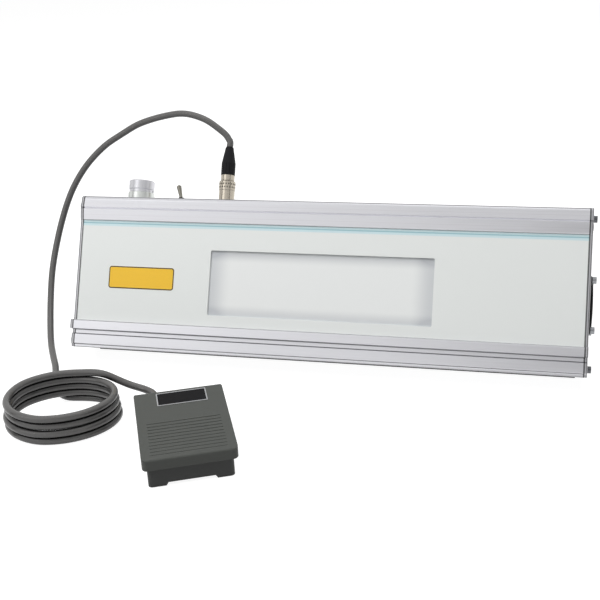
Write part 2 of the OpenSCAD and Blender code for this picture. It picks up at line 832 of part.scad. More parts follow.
// Pedal socket and plug: threaded socket, coupling ring with a knurled band, shell and boot
socket_r = 8;
socket_below = 12;
socket_above = 9;
socket_flange_r = 9.4;
socket_flange_t = 2;
socket_nut_t = 3;
ring_top = 25;
ring_shoulder = 18;
ring_wall = 0.9;
ring_neck_r = 6.3;
ring_groove = 0.4;
ring_band_low = 15;
knurl_count = 20;
knurl_r = 0.9;
knurl_rows = 2;
knurl_pitch = 3.6;
knurl_deep = 0.5;
shell_r = 7.7;
shell_len = 6.8;
neck_r = 6;
boot_r = 7.8;
boot_straight = 13.5;
boot_len = 31.5;
boot_tip_r = 4.4;
boot_flutes = 12;
flute_r = 0.7;
plug_base = socket_flange_t + fit_gap;
boot_z = ring_top + fit_gap + shell_len;

module panel_socket() {
    color(steel) on_top(-socket_x) union() {
        translate([0, 0, -wall - socket_below])
            cylinder(h = wall + socket_below + socket_above, r = socket_r);
        cylinder(h = socket_flange_t, r = socket_flange_r);
    }
}

module socket_nut() {
    color(steel) on_top(-socket_x) translate([0, 0, -wall - socket_nut_t]) difference() {
        cylinder(h = socket_nut_t, r = socket_flange_r + ring_wall, $fn = hex_sides);
        translate([0, 0, -over]) cylinder(h = socket_nut_t + 2 * over, r = socket_r + run_gap);
    }
}

module coupling_ring() {
    r = ring_d / 2;
    color(steel) on_top(-socket_x) difference() {
        rotate_extrude() polygon([
            [r - ring_wall, plug_base], [r - ring_groove, plug_base], [r - ring_groove, ring_band_low],
            [r, ring_band_low + ring_groove], [r, ring_top - ring_groove], [r - ring_groove, ring_top],
            [ring_neck_r, ring_top], [ring_neck_r, ring_shoulder], [r - ring_wall, ring_shoulder]
        ]);
        for (j = [0:knurl_rows - 1], i = [0:knurl_count - 1])
            rotate((i + j / 2) * 360 / knurl_count)
                translate([r - knurl_deep, 0, (ring_band_low + ring_top) / 2 + (j - 1 / 2) * knurl_pitch])
                    along_x() cylinder(h = over, r = knurl_r, $fn = 16);
    }
}

module plug_shell() {
    color(steel) on_top(-socket_x) union() {
        translate([0, 0, socket_above + fit_gap]) cylinder(h = ring_top - socket_above, r = neck_r);
        translate([0, 0, ring_top + fit_gap]) cylinder(h = shell_len, r = shell_r);
    }
}

module plug_boot() {
    color("black") on_top(-socket_x) translate([0, 0, boot_z]) difference() {
        union() {
            cylinder(h = boot_straight, r = boot_r);
            translate([0, 0, boot_straight])
                cylinder(h = boot_len - boot_straight, r1 = boot_r, r2 = boot_tip_r);
        }
        for (i = [0:boot_flutes - 1]) rotate(i * 360 / boot_flutes)
            translate([boot_r + flute_r / 2, 0, flute_r])
            cylinder(h = boot_straight - 2 * flute_r, r = flute_r);
    }
}

// Stand: a bent bar that turns in two hinge blocks on the back and stands on rubber sleeves
stand_off = 8;
sleeve_wall = 1.6;
sleeve_len = 34;
sleeve_x = stand_w / 2 - 30;
block_t = 12;
block_r = 5.6;
block_flange_t = 3;
block_flange_h = 36;
block_screw_z = 13;
block_in = stand_w / 2 + stand_bar / 2 + fit_gap;
block_x = block_in + block_t / 2;
stand_screw_places = [for (s = [-1, 1], z = [-1, 1]) [s * block_x, stand_z + z * block_screw_z]];
pivot_y = back_face_y + stand_off;
pivot_world = [0, case_y + pivot_y * cos(lean) + stand_z * sin(lean),
    case_z - pivot_y * sin(lean) + stand_z * cos(lean)];
stand_len = (pivot_world[2] - stand_bar / 2 - sleeve_wall) / cos(stand_angle);

module at_stand() {
    translate(pivot_world) rotate([stand_angle, 0, 0]) children();
}

module rear_stand() {
    bar_r = stand_bar / 2;
    stub = block_in + block_t - stand_w / 2;
    color(steel) at_stand() union() {
        translate([-stand_w / 2, 0, -stand_len]) along_x() cylinder(h = stand_w, r = bar_r);
        for (s = [-1, 1]) translate([s * stand_w / 2, 0, 0]) {
            translate([0, 0, -stand_len]) cylinder(h = stand_len, r = bar_r);
            sphere(r = bar_r);
            translate([0, 0, -stand_len]) sphere(r = bar_r);
            rotate([0, s * 90, 0]) cylinder(h = stub, r = bar_r);
        }
    }
}

module stand_sleeves() {
    color(dark) at_stand() for (s = [-1, 1]) translate([s * sleeve_x - sleeve_len / 2, 0, -stand_len])
        along_x()
        tube(stand_bar / 2 + sleeve_wall, stand_bar / 2 + run_gap, sleeve_len);
}

module stand_hinge_blocks() {
    color(dark) in_case() for (s = [-1, 1]) translate([s * block_x, back_face_y, stand_z]) difference() {
        along_case(block_t, -block_t / 2) difference() {
            union() {
                translate([0, -block_flange_h / 2]) square([block_flange_t, block_flange_h]);
                translate([0, -block_r]) square([stand_off, 2 * block_r]);
                translate([stand_off, 0]) circle(r = block_r);
            }
            translate([stand_off, 0]) circle(r = stand_bar / 2 + run_gap);
        }
        face_holes(0, block_flange_t, [[0, -block_screw_z], [0, block_screw_z]], pan_hole_r);
    }
}

module stand_block_screws() {
    color(steel) in_case() back_screws(back_face_y + block_flange_t, stand_screw_places,
        block_flange_t + panel_t);
}

// Lead: an arch from the plug to the ground, a coil of piled loops and a tail to the pedal
arch_sides = 8;
arch_sub = 2;
coil_sides = 6;
loop_rings = 24;
coil_centre = [-228.8, -176.7];
coil_half_axes = [54.6, 43.6];
coil_turn = 24;
coil_start = 72;
coil_step = 1.4;
coil_rise = 7.5;
coil_low = 0.3;
coil_phase_share = 0.33;
coil_climb_share = 0.3;
coil_taper_share = 0.11;
arch_from = [-118, 76.7, 217.3];
arch_points = [
    [-123, 82.5, 230.5], [-130.5, 84, 236], [-145.5, 87, 245.5], [-162.5, 89.5, 251], [-177.5, 91, 252.5],
    [-194.5, 92, 250], [-213.5, 92, 245.5], [-232.5, 91, 239], [-251.5, 88, 228.5], [-270.5, 84, 217],
    [-288.5, 77, 200.5], [-301.5, 70, 183.5], [-311.5, 61, 164], [-319, 49, 139.5], [-324, 33, 110],
    [-324.5, 15, 83.5], [-319, -8, 58], [-310, -33, 37.5], [-300, -55, 26], [-289, -74, 20],
    [-278.5, -91, 16], [-272, -105, 12], [-266.5, -117, 8], [-260, -125.5, 5.2], [-252, -130.8, 4.1]
];
tail_points = [
    [-206, -132, 33.6], [-197.5, -130.5, 30.5], [-188, -128.5, 25], [-176, -127, 19.5],
    [-163.5, -127, 16.5], [-151, -132.5, 15.6], [-143.5, -142.5, 15.1]
];
arch_ref = [0.3, 1, -0.5];
up = [0, 0, 1];

function unit(v) = v / norm(v);
function curve(p, i, t) =
    let (a = p[max(i - 1, 0)], b = p[i], c = p[i + 1], d = p[min(i + 2, len(p) - 1)])
    (2 * b + (c - a) * t + (2 * a - 5 * b + 4 * c - d) * t * t + (3 * b - a - 3 * c + d) * t * t * t) / 2;
function smooth(p, n) = concat([for (i = [0:len(p) - 2], k = [0:n - 1]) curve(p, i, k / n)],
    [p[len(p) - 1]]);
function heading(p, i, t0, t1) = i == 0 ? t0 : i == len(p) - 1 ? t1 : unit(p[i + 1] - p[i - 1]);

// Tube along points: each ring lies square to the path, and the ends square to their headings
module swept_tube(p, r, sides, ref, t0, t1) {
    n = len(p);
    rings = [for (i = [0:n - 1])
        let (t = heading(p, i, t0, t1), u = unit(cross(t, ref)), v = cross(u, t))
        for (k = [0:sides - 1]) p[i] + r * (u * cos(k * 360 / sides) + v * sin(k * 360 / sides))];
    walls = [for (i = [0:n - 2], k = [0:sides - 1])
        let (a = i * sides + k, b = i * sides + (k + 1) % sides)
        each [[a, a + sides, b], [b, a + sides, b + sides]]];
    caps = [for (k = [1:sides - 2])
        each [[0, k, k + 1], [(n - 1) * sides, (n - 1) * sides + k + 1, (n - 1) * sides + k]]];
    polyhedron(points = rings, faces = concat(walls, caps), convexity = 8);
}

// Point of the coil's centreline, and its heading, after some turns
function coil_spread(turns) = coil_step * (abs(((turns + coil_phase_share) % 2) - 1) - 1 / 2);
function coil_climb(turns) = min(max(turns / coil_climb_share + 1 / 2, 0), 1);
function coil_layer(turns, loop = 1) =
    loop > coil_loops ? 0 : coil_climb(turns - loop + coil_phase_share) + coil_layer(turns, loop + 1);
function coil_point(turns) =
    let (a = coil_start - turns * 360, z = coil_rise * coil_layer(turns),
        e = coil_half_axes + (coil_spread(turns) - coil_taper_share * z) * [1, 1],
        x = e[0] * cos(a), y = e[1] * sin(a))
    [coil_centre[0] + x * cos(coil_turn) - y * sin(coil_turn),
     coil_centre[1] + x * sin(coil_turn) + y * cos(coil_turn),
     cord_d / 2 + coil_low + z];
coil_turns = coil_loops;
coil_path = [for (i = [0:coil_turns * loop_rings]) coil_point(i / loop_rings)];
function flat(v) = unit([v[0], v[1], 0]);
coil_heading = flat(coil_path[1] - coil_path[0]);
coil_exit = flat(coil_path[len(coil_path) - 1] - coil_path[len(coil_path) - 2]);
coil_in = coil_path[0] - coil_heading * cord_d;
coil_out = coil_path[len(coil_path) - 1] + coil_exit * cord_d;
coil_gap = min([for (i = [0:len(coil_path) - 1], j = [i + loop_rings / 2:len(coil_path) - 1])
    norm(coil_path[i] - coil_path[j])]) - cord_d;
echo(str("least gap between the coil's loops, mm: ", coil_gap));

plug_heading = [0, sin(lean), cos(lean)];
plug_tip = [-socket_x, case_y + mid_y * cos(lean) + (face_h + boot_z + boot_len) * sin(lean),
    case_z - mid_y * sin(lean) + (face_h + boot_z + boot_len) * cos(lean)];
pedal_x = -64;
pedal_y = -264;
pedal_yaw = 25;
gland_x = -21;
gland_z = 15;
gland_len = 22;
gland_flange_t = 2;
gland_flange_r = 7;
gland_root_r = 5.8;
gland_tip_r = 4.3;
pedal_back = [-sin(pedal_yaw), cos(pedal_yaw), 0];
base_rear_y = pedal_len - base_inset;
gland_tip = [pedal_x, pedal_y, gland_z] + gland_x * [cos(pedal_yaw), sin(pedal_yaw), 0]
    + (base_rear_y + gland_len) * pedal_back;
arch_hung = [for (i = [0:len(arch_points) - 1])
    arch_points[i] + (plug_tip - arch_from) * (1 - i / (len(arch_points) - 1))];
arch_route = smooth(concat([plug_tip, plug_tip + cord_d * plug_heading], arch_hung,
    [coil_in - cord_d * coil_heading, coil_in]), arch_sub);
tail_route = smooth(concat([coil_out, coil_out + cord_d * coil_exit], tail_points,
    [gland_tip + cord_d * pedal_back, gland_tip]), arch_sub);

module cord_arch() {
    color(dark) swept_tube(arch_route, cord_d / 2, arch_sides, arch_ref, plug_heading, coil_heading);
}

module cord_coil() {
    color(dark) swept_tube(concat([coil_in], coil_path, [coil_out]), cord_d / 2, coil_sides, up,
        coil_heading, coil_exit);
}

module cord_tail() {
    color(dark) swept_tube(tail_route, cord_d / 2, arch_sides, up, coil_exit, -pedal_back);
}

// Pedal: drawn with its front edge at Y = 0 and its middle at X = 0, standing on Z = 0
pedal_slope = atan((pedal_rear_h - pedal_front_h) / pedal_len);
tread_r = 5;
tread_nose_r = 2;
tread_taper = 1.2;
groove_count = 11;
groove_w = 0.7;
groove_deep = 0.4;
groove_pitch = 4.8;
groove_first = 7;
groove_margin = 8.5;
pin_r = 2.5;
pin_y = pedal_len - 11;
pin_z = 31.5;
pin_end = 1;
base_w = pedal_w - 2 * base_inset;
base_len = pedal_len - 2 * base_inset;
base_r = 4;
base_floor = 6;
base_foot = 0.5;
base_front_top = 21;
base_rear_top = 35;
base_cheek_y = pin_y - 6;
relief_h = 3;
relief_share = 0.54;
relief_slant = 3;
pad_r = 7;
pad_t = 2;
pad_inset = 10;
switch_y = 50;
switch_w = 20;
switch_d = 6.4;
switch_h = 10;
plunger_r = 1.3;
plunger_up = 4.6;
plunger_down = 4.4;
plunger_well = 3;
presser_r = 3;
spring_y = 24;
spring_r = 5.6;
spring_wire = 0.8;
spring_turns = 5;
spring_rings = 8;
spring_seat_r = 4;
spring_seat_h = 2;

module in_pedal() {
    translate([pedal_x, pedal_y, 0]) rotate([0, 0, pedal_yaw]) children();
}

// Extrudes an outline drawn in length and height across the pedal's width
module across(w) {
    translate([-w / 2, 0, 0]) rotate([90, 0, 90]) linear_extrude(w) children();
}

// Height of the tread's top over a place along it, less a depth below it
function tread_z(y, down) = pedal_front_h + (pedal_rear_h - pedal_front_h) * y / pedal_len - down;

module plan(w, y0, len, r) {
    translate([0, y0 + len / 2, -over]) linear_extrude(far) rounded_rect(w, len, r);
}

module pedal_tread() {
    color(dark) in_pedal() difference() {
        intersection() {
            across(pedal_w + over) polygon(concat(
                [[0, tread_z(0, skirt_h)]],
                arc_pts(tread_nose_r, pedal_front_h - tread_nose_r, tread_nose_r, 180, 90 + pedal_slope),
                arc_pts(pedal_len - tread_nose_r, pedal_rear_h - tread_nose_r, tread_nose_r, 90, 0),
                [[pedal_len, tread_z(pedal_len, skirt_h)]]
            ));
            plan(pedal_w, 0, pedal_len, tread_r);
        }
        intersection() {
            across(pedal_w) polygon([
                [pedal_wall, -over], [pedal_wall, tread_z(pedal_wall, pedal_wall)],
                [pedal_len - pedal_wall, tread_z(pedal_len - pedal_wall, pedal_wall)],
                    [pedal_len - pedal_wall, -over]
            ]);
            difference() {
                plan(pedal_w - 2 * pedal_wall, pedal_wall, pedal_len - 2 * pedal_wall,
                    tread_r - pedal_wall);
                translate([0, switch_y, switch_top + fit_gap]) cylinder(h = far, r = presser_r);
                translate([0, spring_y, tread_z(spring_y, pedal_wall + spring_seat_h)])
                    cylinder(h = far, r = spring_seat_r);
            }
        }
        for (i = [0:groove_count - 1]) translate([0, groove_first + i * groove_pitch,
            tread_z(groove_first + i * groove_pitch, groove_deep)])
            rotate([pedal_slope, 0, 0]) translate([groove_margin - pedal_w / 2, -groove_w / 2, 0])
                cube([pedal_w - 2 * groove_margin, groove_w, groove_deep + over]);
        translate([-pedal_w / 2 - over, pin_y, pin_z]) along_x()
            cylinder(h = pedal_w + 2 * over, r = pin_r + run_gap);
    }
}

module pedal_base() {
    color(dark) in_pedal() difference() {
        union() {
            difference() {
                intersection() {
                    across(base_w + over) polygon([
                        [0, base_foot], [0, base_front_top], [base_inset + pedal_wall, base_front_top],
                        [base_cheek_y, base_rear_top - spring_seat_h],
                            [base_cheek_y + spring_seat_h, base_rear_top],
                        [pedal_len, base_rear_top], [pedal_len, base_foot]
                    ]);
                    plan(base_w, base_inset, base_len, base_r);
                }
                translate([0, 0, base_floor + over]) plan(base_w - 2 * pedal_wall, base_inset + pedal_wall,
                    base_len - 2 * pedal_wall, base_r - pedal_wall);
            }
            translate([0, spring_y, base_floor - seam])
                cylinder(h = spring_seat_h + seam, r = spring_seat_r);
        }
        translate([0, pedal_len + over, 0]) rotate([90, 0, 0]) linear_extrude(pedal_len + 2 * over)
            polygon([
            [-relief_share * base_w / 2 - relief_slant, -over],
                [-relief_share * base_w / 2, relief_h + base_foot],
            [relief_share * base_w / 2, relief_h + base_foot],
                [relief_share * base_w / 2 + relief_slant, -over]
        ]);
        for (x = [-1, 1], y = [base_inset + pad_inset, base_rear_y - pad_inset])
            translate([x * (base_w / 2 - pad_inset), y, -over])
                cylinder(h = pad_t + over, r = pad_r + run_gap);
        translate([-pedal_w / 2, pin_y, pin_z]) along_x() cylinder(h = pedal_w, r = pin_r + run_gap);
        translate([gland_x, base_rear_y - pedal_wall - over, gland_z]) rotate([-90, 0, 0])
            cylinder(h = pedal_wall + 2 * over, r = gland_tip_r + run_gap);
    }
}

module pedal_pin() {
    color(steel) in_pedal() translate([pin_end - pedal_w / 2, pin_y, pin_z]) along_x()
        cylinder(h = pedal_w - 2 * pin_end, r = pin_r);
}

module pedal_gland() {
    color("black") in_pedal() translate([gland_x, base_rear_y - pedal_wall, gland_z]) rotate([-90, 0, 0])
        union() {
        cylinder(h = pedal_wall + over, r = gland_tip_r);
        translate([0, 0, pedal_wall]) cylinder(h = gland_flange_t, r = gland_flange_r);
        translate([0, 0, pedal_wall + gland_flange_t])
            cylinder(h = gland_len - gland_flange_t, r1 = gland_root_r, r2 = gland_tip_r);
    }
}

module pedal_feet() {
    color("black") in_pedal() for (x = [-1, 1], y = [base_inset + pad_inset, base_rear_y - pad_inset])
        translate([x * (base_w / 2 - pad_inset), y, 0]) cylinder(h = pad_t, r = pad_r);
}

switch_top = base_floor + switch_h + plunger_up;
switch_screw_x = 7;
switch_hole_r = 1.5;

module switch_body() {
    color("black") in_pedal() translate([0, switch_y, base_floor]) difference() {
        translate([-switch_w / 2, -switch_d / 2, 0]) cube([switch_w, switch_d, switch_h]);
        translate([0, 0, switch_h - plunger_down - plunger_well])
            cylinder(h = switch_h, r = plunger_r + run_gap);
        for (s = [-1, 1]) translate([s * switch_screw_x, 0, -over])
            cylinder(h = switch_h + 2 * over, r = switch_hole_r);
    }
}

module switch_plunger() {
    color("firebrick") in_pedal() translate([0, switch_y, base_floor + switch_h - plunger_down])
        cylinder(h = plunger_down + plunger_up, r = plunger_r);
}

module switch_screws() {
    color(steel) in_pedal() for (s = [-1, 1])
        translate([s * switch_screw_x, switch_y, base_floor + switch_h]) pan_screw(switch_h);
}

// Points of the return spring: flat first and last turns between its two seats
function spring_point(i, n, low, high) =
    let (t = i / n, a = t * spring_turns * 360)
    [spring_r * cos(a), spring_r * sin(a), low + (high - low) * t];

module return_spring() {
    low = base_floor + spring_wire + fit_gap;
    high = tread_z(spring_y, pedal_wall + spring_wire + fit_gap + spring_r * tan(pedal_slope));
    n = spring_turns * spring_rings;
    p = [for (i = [0:n]) spring_point(i, n, low, high)];
    color(steel) in_pedal() translate([0, spring_y, 0])
        swept_tube(p, spring_wire, coil_sides, up, unit(p[1] - p[0]), unit(p[n] - p[n - 1]));
}

top_extrusion();
bottom_extrusion();
foot_strip();
front_panel();
back_panel();
back_panel_screws();
window_diffuser();
light_frame();
led_board();
heat_sink();
lamp_brackets();
left_end_plate();
right_end_plate();
left_end_screws();
right_end_screws();
fan_frame();
fan_rotor();
fan_guard();
fan_screws();
mains_inlet();
inlet_screws();
driver_bracket();
driver_board();
driver_screw();
dimmer_body();
dimmer_nut();
knob_shaft();
brightness_knob();
knob_collar();
knob_grub_screw();
toggle_body();
toggle_nut();
toggle_lever();
panel_socket();
socket_nut();
plug_shell();
coupling_ring();
plug_boot();
rear_stand();
stand_hinge_blocks();
stand_block_screws();
stand_sleeves();
cord_arch();
cord_coil();
cord_tail();
pedal_base();
pedal_tread();
pedal_pin();
pedal_gland();
pedal_feet();
switch_body();
switch_plunger();
switch_screws();
return_spring();
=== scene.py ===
"""Dresses an industrial film viewer and its foot pedal, and lights and frames them."""

import logging
import math
from dataclasses import dataclass
from enum import Enum

import bpy
import numpy as np
from mathutils import Matrix

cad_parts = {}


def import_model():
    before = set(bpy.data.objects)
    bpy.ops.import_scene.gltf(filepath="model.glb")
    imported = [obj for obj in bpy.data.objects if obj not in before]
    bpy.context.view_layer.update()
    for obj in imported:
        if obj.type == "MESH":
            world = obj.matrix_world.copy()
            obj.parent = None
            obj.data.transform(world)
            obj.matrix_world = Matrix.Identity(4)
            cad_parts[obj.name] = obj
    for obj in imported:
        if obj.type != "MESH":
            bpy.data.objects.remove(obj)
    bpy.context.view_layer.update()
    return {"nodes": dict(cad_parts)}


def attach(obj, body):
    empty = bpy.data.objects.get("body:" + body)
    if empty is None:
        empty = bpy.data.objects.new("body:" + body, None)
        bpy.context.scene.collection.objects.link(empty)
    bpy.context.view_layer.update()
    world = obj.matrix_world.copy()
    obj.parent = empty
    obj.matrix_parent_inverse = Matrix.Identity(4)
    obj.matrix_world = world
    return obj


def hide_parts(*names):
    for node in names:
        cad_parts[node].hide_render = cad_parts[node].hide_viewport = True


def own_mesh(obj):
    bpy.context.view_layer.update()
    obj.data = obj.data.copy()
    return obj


LOG = logging.getLogger("film_viewer")
Tree = bpy.types.NodeTree
Socket = bpy.types.NodeSocket
MM = 0.001
MM_PER_METRE = 1000
WHITE = (1, 1, 1, 1)

# The case leans back on its foot, and the pedal stands askew in front. Places are in metres.
LEAN = math.radians(26.0)
CASE_ORIGIN = (0.0, -0.057178, 0.024919)
PEDAL_ORIGIN = (-0.064, -0.264, 0.0)
PEDAL_YAW = math.radians(25.0)

# Blender's noise mostly lies between these two values.
NOISE_LOW, NOISE_HIGH = 0.3, 0.7
NOISE_ROUGHNESS = 0.55
PAINT_DETAIL, OTHER_DETAIL = 1.0, 3.0
# How many times longer than wide a die line and a lathe ring are drawn.
DIE_RUN, LATHE_RUN = 160, 40
LEAST_ROUGHNESS = 0.02
HALF_METAL = 0.5
EDGE_SAMPLES, CREVICE_SAMPLES = 4, 8
# A line fades out over this many millimetres beside it.
LINE_FADE = 0.2
# Painted shade is deepest where no more than this share of the surroundings is open. Then
# come the light that the painted shade leaves there and the painted light in the open.
SHUT_SHARE, DEEPEST_PAINTED_SHADE, OPEN_PAINTED_LIGHT = 0.45, 0.05, 1.3
# No way that a tube follows starts along this direction.
SIDE_HINT = (0.3, 1.0, -0.5)


class Grain(Enum):
    """How a surface was made, which decides its fine pattern."""

    EXTRUDED = "lines drawn along the case by the die"
    TURNED = "rings left by the lathe"
    MOULDED = "even texture of a spark-eroded mould"
    PAINTED = "soft orange peel of sprayed paint"
    SMOOTH = "polished or glazed, with only slight smears"


class Space(Enum):
    """The frame in which a pattern lies."""

    ROW = "the object's own frame"
    CASE = "the leaning case's frame: along it, back from the panel and up the face"
    PEDAL = "the pedal's frame: across it, along it and up"


def linear(hex_colour: str) -> tuple[float, float, float, float]:
    """Turns an sRGB colour into linear light, by the standard's two-part curve.

    Args:
        hex_colour: A colour such as "#C9CACD".

    Returns:
        Linear red, green and blue, and an alpha of 1.
    """
    parts = [int(hex_colour[i:i + 2], 16) / 255 for i in (1, 3, 5)]
    rgb = [c / 12.92 if c <= 0.04045 else ((c + 0.055) / 1.055) ** 2.4 for c in parts]
    return (rgb[0], rgb[1], rgb[2], 1.0)


def case_matrix() -> np.ndarray:
    """Rotation from the case's frame to the row's: the case leans back by LEAN about X."""
    c, s = math.cos(LEAN), math.sin(LEAN)
    return np.array([[1, 0, 0], [0, c, s], [0, -s, c]], float)


def case_to_row(points: np.ndarray) -> np.ndarray:
    """Moves points from the case's frame to the row's, by its rotation and a shift.

    Args:
        points: An n by 3 array, in metres: along the case, back from the panel, up the face.

    Returns:
        The same points in the row's frame.
    """
    return points @ case_matrix().T + np.array(CASE_ORIGIN)


def pedal_to_row(points: np.ndarray) -> np.ndarray:
    """Moves points from the pedal's frame to the row's, by a turn about Z and a shift.

    Args:
        points: An n by 3 array, in metres: across the pedal, along it and up.

    Returns:
        The same points in the row's frame.
    """
    c, s = math.cos(PEDAL_YAW), math.sin(PEDAL_YAW)
    turn = np.array([[c, -s, 0], [s, c, 0], [0, 0, 1]], float)
    return points @ turn.T + np.array(PEDAL_ORIGIN)


def unit(rows: np.ndarray) -> np.ndarray:
    """Scales each row to length one."""
    return rows / np.linalg.norm(rows, axis=-1, keepdims=True)


def axes_along(way: np.ndarray) -> tuple[np.ndarray, np.ndarray, np.ndarray]:
    """Works out three square axes from one direction, the first of them level.

    Args:
        way: The direction of the third axis, of any length.

    Returns:
        The level axis, the one above it and the direction itself, each of length one.
    """
    ahead = unit(way)
    across = unit(np.cross([0, 0, 1], ahead))
    return across, np.cross(ahead, across), ahead


def placed(*columns: np.ndarray) -> Matrix:
    """Makes a Blender matrix whose columns are three axes and a place."""
    return Matrix(np.vstack([np.column_stack(columns), [0, 0, 0, 1]]).tolist())


def add_node(tree: Tree, kind: str, links: dict | None = None,
             **settings: object) -> bpy.types.Node:
    """Adds one shader node with its settings, values and links.

    Args:
        tree: The material's or world's node tree.
        kind: The node's type name.
        links: Input name or index, to an output socket that feeds it or a plain value.
        settings: Attributes of the node.

    Returns:
        The new node.
    """
    node = tree.nodes.new(kind)
    for name, value in settings.items():
        setattr(node, name, value)
    for key, value in (links or {}).items():
        if isinstance(value, Socket):
            tree.links.new(value, node.inputs[key])
        else:
            node.inputs[key].default_value = value
    return node


def empty_tree(owner: bpy.types.Material | bpy.types.World) -> Tree:
    """Empties the node tree of a new material or world.

    Args:
        owner: The material or world.

    Returns:
        Its node tree, with nothing in it.
    """
    owner.use_nodes = True
    owner.node_tree.nodes.clear()
    return owner.node_tree


def place_in(tree: Tree, space: Space) -> Socket:
    """Gives Object coordinates turned into a pattern's own frame.

    Args:
        tree: The material's node tree.
        space: The frame in which the pattern lies.

    Returns:
        The place on the surface, in metres.
    """
    coords = add_node(tree, "ShaderNodeTexCoord").outputs["Object"]
    if space is Space.ROW:
        return coords
    case = space is Space.CASE
    return add_node(tree, "ShaderNodeMapping", {
        "Vector": coords,
        "Location": CASE_ORIGIN if case else PEDAL_ORIGIN,
        "Rotation": (-LEAN, 0, 0) if case else (0, 0, PEDAL_YAW),
    }, vector_type="TEXTURE").outputs["Vector"]


